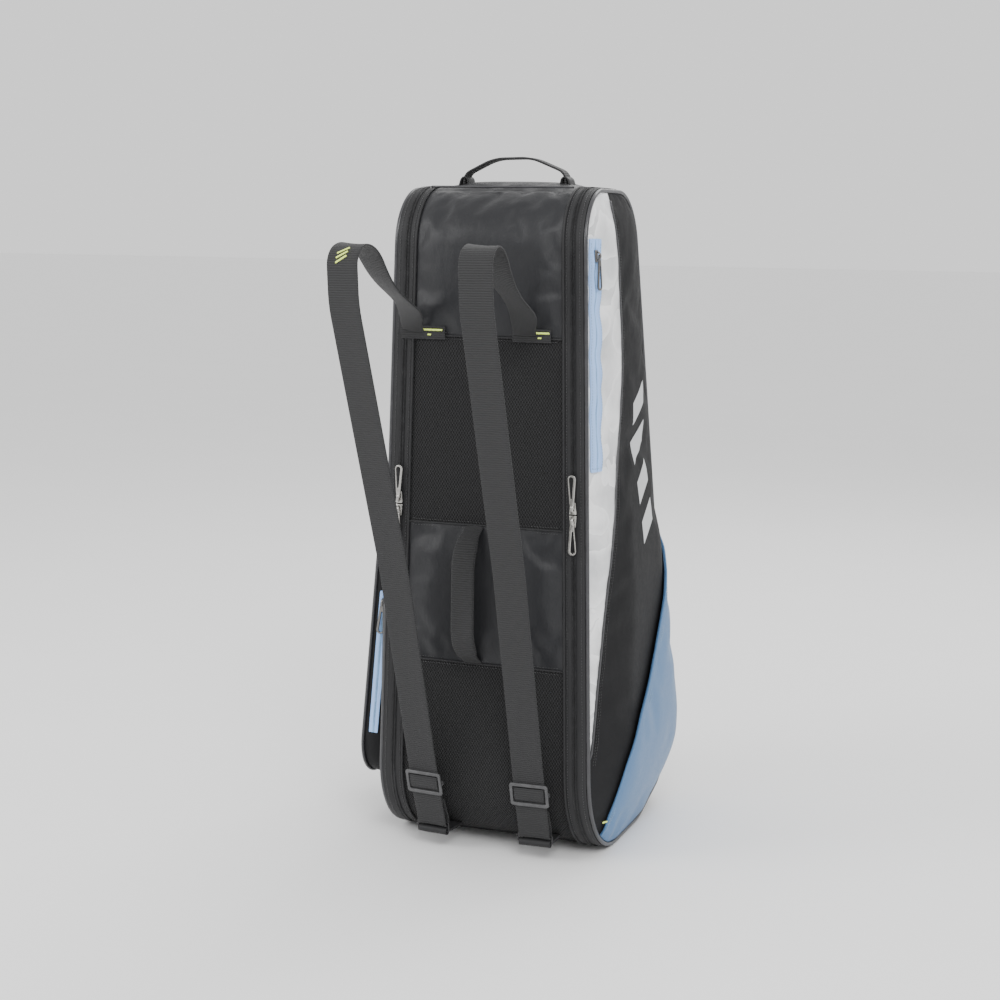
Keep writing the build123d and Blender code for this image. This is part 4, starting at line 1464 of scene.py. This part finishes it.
# Down from the patch, round the ring and up behind to below the adjuster.
def strapRoute():
    bar = (strap["ringDepth"], strap["ringHeight"] + strap["ringSpan"])
    loop = strap["loop"]
    tail = [
        (bar[0] - loop, bar[1] + loop, 2 * loop), (bar[0] - loop, bar[1] - loop, 0.98 * loop),
        (bar[0] + loop, bar[1] - loop, 0.98 * loop), (bar[0] + loop, bar[1] + loop, 2 * loop),
        (-0.0045, 0.064, 0),
    ]
    path = measuredPath(filletPath(strap["route"] + tail, closed=False, step=0.0015), False)
    path.peak = path.nearest(-0.170, 0.714)
    return path


def strapSpine(path, start, end, step):
    count = max(2, int((end - start) / step))
    return [path.at(start + (end - start) * i / count) for i in range(count + 1)]


# Centre, crosswise direction and width of the strap at a length along its path.
def strapFrame(side, place, path, s):
    spot, nextSpot = path.at(s), path.at(min(s + 0.002, path.length))
    before = path.at(max(s - 0.002, 0.0))
    f = min(s / path.peak, 1.0)
    run = (strapLocal(nextSpot.x, nextSpot.y) - strapLocal(before.x, before.y)).normalized()
    angle = math.radians(strap["twist"][side]) * math.sin(math.pi * f)
    across = Matrix.Rotation(angle, 3, run) @ Vector((1, 0, 0))
    near = 1 - smooth(s, 0.0, 0.075)
    shift = strap["endShift"][side] * near + 0.003 * math.sin(2 * math.pi * f)
    width = strap["width"] * (1 - (1 - strap["endWidth"]) * near)
    centre = place @ (strapLocal(spot.x, spot.y) + Vector((shift, 0, 0)))
    return centre, place.to_3x3() @ across, width


def shoulderStrap(side):
    place = strapPlace(side)
    path = strapRoute()
    count = int(path.length / 0.0035)
    frames = [strapFrame(side, place, path, (path.length - 0.0005) * i / count) for i in range(count + 1)]
    centres, acrosses, widths = [list(values) for values in zip(*frames)]
    piece = ribbonAlong(centres, acrosses, widths, strap["thickness"], f"{side}ShoulderStrap", 8, 0.0006)
    piece.data.materials.clear()
    piece.data.materials.append(finish["webbing"])
    start = rowPoint(-0.002, 0.4, 0)
    end = rowPoint(-0.014, 0.4, 0)
    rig.blend(piece, "core", f"{side}_strap", start=start, end=end)
    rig.replaces(piece, f"{side}_shoulder_strap", f"{side}_strap_end", f"{side}_strap_fold")
    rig.slot(piece, "webbing")
    return place, path


# Three slanted rows of bright thread just past the peak of the left strap.
def strapMarks(side, place, path):
    first = path.nearest(-0.183, 0.7135)
    for k in range(3):
        ends = []
        for u, step in ((0.30, 0.0075), (0.62, 0.0)):
            s = first - 0.001 + 0.0050 * k + step
            centre, across, width = strapFrame(side, place, path, s)
            later, _, _ = strapFrame(side, place, path, s + 0.002)
            out = (later - centre).cross(across).normalized()
            ends.append((centre + across * (2 * u - 1) * width / 2 + out * 0.0009, out))
        (a, outA), (b, outB) = ends
        barTack(f"{side}StrapMark{k + 1}", (a + b) / 2, b - a, (outA + outB).normalized(),
                (b - a).length, 0.0026, 22, f"{side}_strap")


# The webbing behind, up to the adjuster's middle bar; it lengthens as that slides.
def returnLayer(side, place, path):
    low = path.at(path.length - 0.006)
    lowPoint = strapLocal(low.x - 0.0022, low.y)
    middle = adjusterSpot()
    high = middle + Vector((0, 0.0030, 0.0010))
    points = [lowPoint.lerp(high, i / 14) for i in range(15)]
    centres = [place @ p for p in points]
    acrosses = [place.to_3x3() @ Vector((1, 0, 0))] * len(points)
    piece = ribbonAlong(centres, acrosses, strap["width"] - 0.002, 0.0016, f"{side}ReturnWebbing", 6)
    piece.data.materials.clear()
    piece.data.materials.append(finish["webbing"])
    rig.blend(piece, f"{side}_strap", f"{side}_adjuster", start=centres[2], end=centres[-1])
    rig.slot(piece, "webbing")


def runDirection():
    high, low = strap["route"][-2], strap["route"][-1]
    return Vector((0, high[0] - low[0], high[1] - low[1])).normalized()


def adjusterSpot():
    low = strap["route"][-1]
    run = runDirection()
    return strapLocal(low[0], low[1]) + run * ((strap["adjusterHeight"] - low[1]) / run.z)


adjusterSpec = {"width": 0.0468, "length": 0.0295, "side": 0.0036, "bar": 0.0042, "plate": 0.0026}


def roundedLoop(width, height, radius, steps=6):
    points = []
    for cx, cy, first in ((1, 1, 0), (-1, 1, 90), (-1, -1, 180), (1, -1, 270)):
        for k in range(steps + 1):
            angle = math.radians(first + 90 * k / steps)
            points.append((cx * (width / 2 - radius) + radius * math.cos(angle),
                           cy * (height / 2 - radius) + radius * math.sin(angle)))
    return points


# A flat frame between two loops of the same count, given depth and rounded edges.
def frameFrom(outer, inner, depth, bevel, name, segments=3):
    count = len(outer)
    points = [Vector((x, -depth / 2, z)) for x, z in outer] + [Vector((x, -depth / 2, z)) for x, z in inner]
    piece = meshPiece(name, points, [(i, (i + 1) % count, count + (i + 1) % count, count + i)
                                     for i in range(count)])
    choose(piece)
    bpy.ops.object.mode_set(mode="EDIT")
    bpy.ops.mesh.select_all(action="SELECT")
    bpy.ops.mesh.extrude_region_move(TRANSFORM_OT_translate={"value": (0, depth, 0)})
    bpy.ops.object.mode_set(mode="OBJECT")
    faceOutwards(piece)
    addModifier(piece, "BEVEL", width=bevel, segments=segments, limit_method="ANGLE",
                angle_limit=math.radians(60))
    applyAll(piece)
    shade(piece, 40)
    return piece


def adjusterPieces(side, place):
    spec = adjusterSpec
    outer = roundedLoop(spec["width"], spec["length"], 0.0035)
    inner = roundedLoop(spec["width"] - 2 * spec["side"], spec["length"] - 2 * spec["bar"], 0.0016)
    rim = frameFrom(outer, inner, spec["plate"], 0.0008, "adjusterRim")
    rim.data.transform(Matrix.Translation((0, -0.0024, 0)))
    parts = [rim]
    for sign in (-1, 1):
        deselectAll()
        bpy.ops.mesh.primitive_cube_add(size=1)
        arm = bpy.context.object
        bpy.ops.object.mode_set(mode="EDIT")
        bpy.ops.transform.resize(value=(spec["side"], 0.0062, 0.0052))
        bpy.ops.transform.translate(value=(sign * (spec["width"] / 2 - spec["side"] / 2), 0, 0))
        bpy.ops.mesh.bevel(offset=0.0008, segments=3)
        bpy.ops.object.mode_set(mode="OBJECT")
        parts.append(arm)
    deselectAll()
    bpy.ops.mesh.primitive_cylinder_add(vertices=20, radius=0.0013, depth=spec["width"] - 0.002,
                                        rotation=(0, math.pi / 2, 0))
    bar = bpy.context.object
    bpy.ops.object.transform_apply(location=True, rotation=True, scale=True)
    bar.data.transform(Matrix.Translation((0, 0.0026, 0)))
    parts.append(bar)
    piece = joined(parts, f"{side}Adjuster")
    run = runDirection()
    across = Vector((1, 0, 0))
    turn = Matrix((across, run.cross(across), run)).transposed().to_4x4()
    turn.translation = adjusterSpot()
    piece.data.transform(place @ turn)
    shade(piece, 40)
    dress(piece, finish["plastic"], f"{side}_adjuster", [f"{side}_adjuster"], "buckle_plastic")
    middle, roll = adjusterSpot(), []
    for i in range(13):
        t = i / 6 - 1
        bump = 0.0012 + 0.0020 * math.cos(t * math.pi / 2) ** 0.7
        roll.append(place @ (middle + run * -0.0085 * t + run.cross(across) * -bump))
    width = strap["width"] - 0.0015
    cover = ribbonAlong(roll, [place.to_3x3() @ across] * 13, width, 0.0014, f"{side}AdjusterWebbing", 6)
    dress(cover, finish["webbing"], f"{side}_adjuster", slot="webbing")


def ringPieces(side, place):
    width, wire = strap["width"] + 0.0016, 0.0021
    span = strap["ringSpan"]
    outer = roundedLoop(width + 2 * wire, span + wire, 0.0035)
    inner = roundedLoop(width, span - wire, 0.0012)
    ring = frameFrom(outer, inner, wire, 0.0008, f"{side}StrapRing", 4)
    spot = strapLocal(strap["ringDepth"], strap["ringHeight"]) + Vector((0, 0, span / 2))
    ring.data.transform(place @ Matrix.Translation(spot))
    dress(ring, finish["ringPlastic"], f"{side}_ring", [f"{side}_strap_ring"], "buckle_plastic")


patchPlaces = {"left": (-0.0785, 0.055), "right": (0.0540, 0.046)}


# Folded webbing flap over the seam; its bar tack is made separately below.
def anchorPatch(side):
    x, patchWidth = patchPlaces[side]
    rows = [rowPoint(-0.0016 - 0.0016 * math.sin(math.pi * i / 10), 0.6055 + 0.0155 * i / 10, x)
            for i in range(11)]
    patch = ribbonAlong(rows, [Vector((1, 0, 0))] * 11, patchWidth, 0.0012, f"{side}AnchorPatch", 6)
    dress(patch, finish["webbing"], "core", slot="webbing")
    return patch


# Zigzag of close stitches.
def barTack(name, centre, across, out, length, width, count, body, slot="bar_tack"):
    run = across.normalized()
    up = out.cross(run).normalized()
    matrices = []
    for k in range(count):
        point = centre + run * length * ((k + 0.5) / count - 0.5)
        lean = Matrix.Rotation(math.radians(18 if k % 2 else -18), 4, out)
        turn = lean @ Matrix((run, out, up)).transposed().to_4x4()
        turn.translation = point + out * 0.0006
        matrices.append(turn)
    tack = copiesOf(stitchTemplate(width, 0.00062), matrices, name)
    return dress(tack, finish["limeThread"], body, slot=slot)


for sideName in ("left", "right"):
    strapTurn, strapPath = shoulderStrap(sideName)
    returnLayer(sideName, strapTurn, strapPath)
    adjusterPieces(sideName, strapTurn)
    ringPieces(sideName, strapTurn)
    if sideName == "left":
        strapMarks(sideName, strapTurn, strapPath)
patches = [anchorPatch("left"), anchorPatch("right")]
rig.replaces(patches[0], "strap_anchors")
tackOut = Vector((0, -1, 0))
tackPlaces = {"left": (-0.0688, 0.030), "right": (0.0650, 0.021)}
tacks = []
for sideName, (tackX, tackLength) in tackPlaces.items():
    middle = rowPoint(-0.0042, 0.6165, tackX)
    tacks.append(barTack(f"{sideName}AnchorTack", middle, Vector((1, 0, 0)), tackOut, tackLength, 0.0028,
                         int(tackLength / 0.0008), "core"))
    barTack(f"{sideName}AnchorDot", middle + Vector((-0.001, 0.0004, -0.0055)), Vector((1, 0, 0)), tackOut,
            0.004, 0.0022, 5, "core")
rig.replaces(tacks[0], "bar_tacks")


refinish("ring_tabs", "tape")
print("straps ready")


# Handles

topHandle = {"depth": 0.090, "half": 0.063, "width": 0.020, "thickness": 0.0024}


def topHandlePieces():
    spec = topHandle
    base = bag["height"]
    spots = [(-spec["half"], 0.0, 0), (-spec["half"] + 0.001, 0.017, 0.012), (-0.026, 0.0345, 0.060),
             (0.020, 0.0355, 0.060), (spec["half"] - 0.001, 0.0185, 0.014), (spec["half"], 0.0, 0)]
    path = measuredPath(filletPath(spots, False, 0.002), False)
    spine = strapSpine(path, 0, path.length, 0.003)
    centres = [Vector((p.x, spec["depth"] - bag["baseCentre"], base + p.y - 0.001)) for p in spine]
    acrosses = [Vector((0, 1, 0))] * len(centres)
    arch = ribbonAlong(centres, acrosses, spec["width"], spec["thickness"], "topHandle", 6, 0.0004)
    arch.data.materials.clear()
    arch.data.materials.append(finish["webbing"])
    y = spec["depth"] - bag["baseCentre"]
    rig.blend(arch, "core", "top_handle", start=(0, y, base + 0.002), end=(0, y, base + 0.016))
    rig.replaces(arch, "top_handle", "top_handle_ends")
    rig.slot(arch, "webbing")
    for sign in (-1, 1):
        spots = [(sign * (spec["half"] + 0.006), -0.0005, 0), (sign * (spec["half"] + 0.003), 0.010, 0.006),
                 (sign * (spec["half"] - 0.004), 0.0165, 0.004),
                 (sign * (spec["half"] - 0.006), 0.004, 0.004),
                 (sign * (spec["half"] - 0.010), -0.0005, 0)]
        path = measuredPath(filletPath(spots, False, 0.001), False)
        spine = strapSpine(path, 0, path.length, 0.0015)
        centres = [Vector((p.x, y, base + p.y)) for p in spine]
        name = "rightHandleFoot" if sign > 0 else "leftHandleFoot"
        foot = ribbonAlong(centres, [Vector((0, 1, 0))] * len(centres), spec["width"] + 0.002, 0.002,
                           name, 4)
        dress(foot, finish["tape"], "core", slot="webbing")


grab = {"x": -0.013, "top": 0.392, "bottom": 0.231, "bow": 0.036, "free": 0.020}


# Padded sleeve, flat webbing at both ends.
def grabHandlePieces():
    spots = [(0.0, grab["top"], 0), (-grab["free"], grab["top"] - 0.012, 0.020),
             (-grab["bow"], grab["top"] - 0.034, 0.040), (-grab["bow"], grab["bottom"] + 0.034, 0.040),
             (-grab["free"], grab["bottom"] + 0.012, 0.020), (0.0, grab["bottom"], 0)]
    path = measuredPath(filletPath(spots, False, 0.002), False)
    rows, around = 60, 20

    # Width and thickness swell from flat ends to the padded middle.
    def section(t, angle):
        full = smooth(t, 0.06, 0.20) * smooth(1 - t, 0.06, 0.20)
        width = 0.0115 + 0.0025 * full
        thick = 0.0012 + 0.0036 * full
        c, s = math.cos(angle), math.sin(angle)
        return (width * math.copysign(abs(c) ** 0.6, c), thick * math.copysign(abs(s) ** 0.8, s))

    points, faces = [], []
    for i in range(rows + 1):
        t = i / rows
        s = path.length * t
        spot, out = path.at(s), path.outwards(s, 0.006)
        for k in range(around):
            across, proud = section(t, 2 * math.pi * k / around)
            ripple = 0.0004 * noise.noise(Vector((t * 40, k * 0.7, 0)))
            proud += ripple * (1 if proud > 0 else -1)
            points.append(rowPoint(spot.x + out.x * proud, spot.y + out.y * proud, grab["x"] + across))
    for i in range(rows):
        for k in range(around):
            a, b = i * around + k, i * around + (k + 1) % around
            faces.append((a, b, b + around, a + around))
    faces.append(tuple(range(around)))
    faces.append(tuple(range(rows * around, (rows + 1) * around)))
    sleeve = meshPiece("grabHandle", points, faces)
    faceOutwards(sleeve)
    addModifier(sleeve, "SUBSURF", levels=1, render_levels=1)
    applyAll(sleeve)
    choose(sleeve)
    bpy.ops.object.mode_set(mode="EDIT")
    bpy.ops.mesh.select_all(action="SELECT")
    bpy.ops.uv.cube_project(cube_size=1.0)
    bpy.ops.object.mode_set(mode="OBJECT")
    shade(sleeve)
    sleeve.data.materials.clear()
    sleeve.data.materials.append(finish["webbing"])
    y = -bag["baseCentre"]
    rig.blend(sleeve, "core", "grab_handle", start=(0, y - 0.003, 0.31), end=(0, y - 0.020, 0.31))
    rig.replaces(sleeve, "grab_handle", "grab_handle_ends")
    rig.slot(sleeve, "webbing")
    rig.padded(sleeve, fill=0.7)


topHandlePieces()
grabHandlePieces()
print("handles ready")


# Sliders and pulls

slider = {"width": 0.009, "length": 0.014, "pinOffset": -0.0052, "plate": 0.0016}


def hardwareTurn(side, level):
    run = Vector(jointNamed[f"{side}_{level}_slider_run"]["axis"]).normalized()
    pivot = jointNamed[f"{side}_{level}_pull_hinge"]
    across = Vector(pivot["axis"]).normalized()
    out = run.cross(across)
    turn = Matrix((across, out, run)).transposed().to_4x4()
    turn.translation = Vector(pivot["pos_m"]) - out * slider["pinOffset"]
    return turn


# Lower wings, a rounded top plate and the bridge that holds the pull.
def sliderMesh():
    deselectAll()
    bpy.ops.mesh.primitive_cube_add(size=1)
    body = bpy.context.object
    bpy.ops.object.mode_set(mode="EDIT")
    bpy.ops.transform.resize(value=(slider["width"], 0.0026, slider["length"]))
    bpy.ops.transform.translate(value=(0, -0.0016, 0))
    bpy.ops.mesh.bevel(offset=0.0011, segments=3)
    bpy.ops.object.mode_set(mode="OBJECT")
    for vertex in body.data.vertices:
        taper = 1 - 0.28 * smooth(vertex.co.z, 0.0, 0.007)
        vertex.co.x *= taper
    arch = []
    for k in range(13):
        angle = math.pi * k / 12
        arch.append(Vector((0, -0.0026 - 0.0040 * math.sin(angle), 0.0045 * math.cos(angle))))
    bridge = tubeAlong(arch, 0.0010, "bridge", sides=4)
    for vertex in bridge.data.vertices:
        vertex.co.x *= 1.7
    return joined([body, bridge], "sliderBody")


def teardrop(tipRadius, neckRadius, neckZ, tipZ, steps=14):
    lean = math.asin((tipRadius - neckRadius) / (tipZ - neckZ))
    points = []
    for k in range(steps + 1):
        angle = -lean + (math.pi + 2 * lean) * k / steps
        points.append((tipRadius * math.cos(angle), tipZ + tipRadius * math.sin(angle)))
    for k in range(steps + 1):
        angle = math.pi + lean + (math.pi - 2 * lean) * k / steps
        points.append((neckRadius * math.cos(angle), neckZ + neckRadius * math.sin(angle)))
    return points


# Teardrop loop, one side a wide flat bar, with the eye that rides the bridge.
def pullMesh():
    outer = teardrop(0.0048, 0.0026, 0.0055, 0.0335)
    inner = teardrop(0.0026, 0.0009, 0.0120, 0.0335)
    inner = [(x - 0.0007, z) for x, z in inner]
    loop = frameFrom(outer, inner, slider["plate"], 0.0005, "pullLoop", 3)
    eye = [(0.0019 * math.cos(a), 0.0012 + 0.0026 * math.sin(a))
           for a in (2 * math.pi * k / 24 for k in range(24))]
    eyeTube = tubeAlong([Vector((x, 0, z + 0.0006)) for x, z in eye], 0.0008, "pullEye", True, 4)
    return joined([loop, eyeTube], "pullTag")


# The right pocket's pull hangs a little turned towards the strap panel.
def askew(turn):
    return math.copysign(0.22, turn[1][0] * turn[0][1])


def hardwarePieces():
    sliderBase, pullBase = sliderMesh(), pullMesh()
    for side in ("left", "right"):
        for level in ("upper", "lower", "pocket"):
            turn = hardwareTurn(side, level)
            for base, kind in ((sliderBase, "slider"), (pullBase, "pull")):
                piece = bpy.data.objects.new(f"{side}{level.title()}{kind.title()}", base.data.copy())
                bpy.context.scene.collection.objects.link(piece)
                shift = Matrix.Translation((0, slider["pinOffset"], 0)) if kind == "pull" else Matrix()
                if kind == "pull" and (side, level) == ("right", "pocket"):
                    shift = shift @ Matrix.Rotation(askew(turn), 4, "Z")
                piece.data.transform(turn @ shift)
                shade(piece, 40)
                metal = finish["darkMetal" if level == "pocket" else "nickel"]
                dress(piece, metal, f"{side}_{level}_{kind}", [f"{side}_{level}_{kind}"],
                      "zip_metal")
    for base in (sliderBase, pullBase):
        bpy.data.objects.remove(base)


hardwarePieces()
print("sliders and pulls ready")


# Trim: seam stitches over the strap panel, a bar tack at the side's foot and the plain side bars

def panelStitches():
    rows = []
    for height in (bag["topSeam"], bag["grabTop"], bag["grabBottom"]):
        half = along(bag["panelHalf"], height) - 0.004
        for shift in (-0.0035, 0.0035):
            line = [(rowPoint(-0.0004, height + shift, half * (2 * i / 40 - 1)), Vector((0, -1, 0)))
                    for i in range(41)]
            rows.append(line)
    dress(stitchRow(rows, "panelSeamStitches"), finish["thread"], "core", slot="coated_panel")
    for index, height in enumerate((bag["topSeam"], bag["grabTop"], bag["grabBottom"])):
        half = along(bag["panelHalf"], height)
        line = [rowPoint(-0.0002, height, half * (2 * i / 20 - 1)) for i in range(21)]
        dress(tubeAlong(line, 0.0012, f"panelSeam{index + 1}"), finish["tape"], "core",
              slot="coated_panel")
    half = along(bag["panelHalf"], bag["height"])
    top = [rowPoint(bag["wrapDepth"], bag["height"] + 0.0002, half * (2 * i / 20 - 1)) for i in range(21)]
    dress(tubeAlong(top, 0.0013, "topSeamCord"), finish["piping"], "core", slot="piping")


def sideTrim():
    middle = skinPoint(0.037, 0.047, 1, 0.0042)
    barTack("sideFootTack", middle, Vector((0, 1, -0.22)), Vector((1, 0, 0)), 0.028, 0.0024, 30,
            "right_door")


# Four plain slanted bars printed on the dark side cloth.
printBars = {"back": 0.132, "width": 0.044, "height": 0.026, "pitch": 0.047, "bottom": 0.375, "count": 4,
             "slant": 0.55}


def sidePrint():
    spec = printBars
    bars = []
    for k in range(spec["count"]):
        base = spec["bottom"] + spec["pitch"] * k

        def place(u, v):
            depth = spec["back"] + spec["width"] * u
            height = base + spec["height"] * v + spec["slant"] * spec["width"] * (u - 0.5)
            return skinPoint(depth, height, 1, 0.0003), (depth, height)

        bar, _ = sheetGrid(f"rightBar{k}", 12, 8, place)
        if sum(p.normal.x for p in bar.data.polygons) < 0:
            bar.data.flip_normals()
        bars.append(bar)
    printed = joined(bars, "rightSidePrint")
    thicken(printed, 0.0003, 0)
    dress(printed, finish["silverPrint"], "right_door", slot="silver_panel")


panelStitches()
sideTrim()
sidePrint()
print("trim ready")


# Floor, light and camera

def studio():
    deselectAll()
    bpy.ops.mesh.primitive_plane_add(size=80, location=(0, 0, 0))
    floor = rename(bpy.context.object, "studioFloor")
    material, tree, shader = newMaterial("studioPaper")
    mottle = noiseOf(tree, objectCoordinates(tree), 3.0, 3.0)
    link(tree, shader, Base_Color=mixColour(tree, mottle, (0.90, 0.90, 0.90), (0.93, 0.93, 0.93)))
    shader.inputs["Roughness"].default_value = 0.7
    floor.data.materials.append(material)
    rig.stage(floor)
    world = bpy.data.worlds.new("studioWorld")
    world.use_nodes = True
    world.node_tree.nodes["Background"].inputs["Color"].default_value = (1, 1, 1, 1)
    world.node_tree.nodes["Background"].inputs["Strength"].default_value = 1.15
    bpy.context.scene.world = world
    lamps = {
        "keyLamp": ((1.3, -2.3, 2.3), 58, 1.4),
        "fillLamp": ((-2.0, -1.8, 1.6), 34, 1.2),
        "rimLamp": ((0.4, 1.8, 2.3), 30, 1.4),
    }
    for name, (place, power, size) in lamps.items():
        light = bpy.data.lights.new(name, "AREA")
        light.energy, light.size = power, size
        lamp = bpy.data.objects.new(name, light)
        lamp.location = place
        aim = Vector((0, 0, 0.4)) - Vector(place)
        lamp.rotation_euler = aim.to_track_quat("-Z", "Y").to_euler()
        bpy.context.scene.collection.objects.link(lamp)


view = {"place": (0.7533, -2.1272, 0.7283), "aim": (-0.0195, -0.050, 0.409), "roll": 0.78,
        "lens": 66.98}


def addCamera():
    data = bpy.data.cameras.new("view")
    data.lens, data.sensor_width = view["lens"], 36
    camera = bpy.data.objects.new("view", data)
    ahead = (Vector(view["aim"]) - Vector(view["place"])).normalized()
    right = ahead.cross(Vector((0, 0, 1))).normalized()
    up = right.cross(ahead)
    roll = math.radians(view["roll"])
    across = right * math.cos(roll) + up * math.sin(roll)
    above = up * math.cos(roll) - right * math.sin(roll)
    turn = Matrix((across, above, -ahead)).transposed().to_4x4()
    turn.translation = Vector(view["place"])
    camera.matrix_world = turn
    bpy.context.scene.collection.objects.link(camera)
    bpy.context.scene.camera = camera


studio()
addCamera()
print("studio ready")

low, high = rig.bounds()
with open("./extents.json", "w") as sizeFile:
    json.dump({"cad": [list(cadLow), list(cadHigh)], "visual": [list(low), list(high)]}, sizeFile)
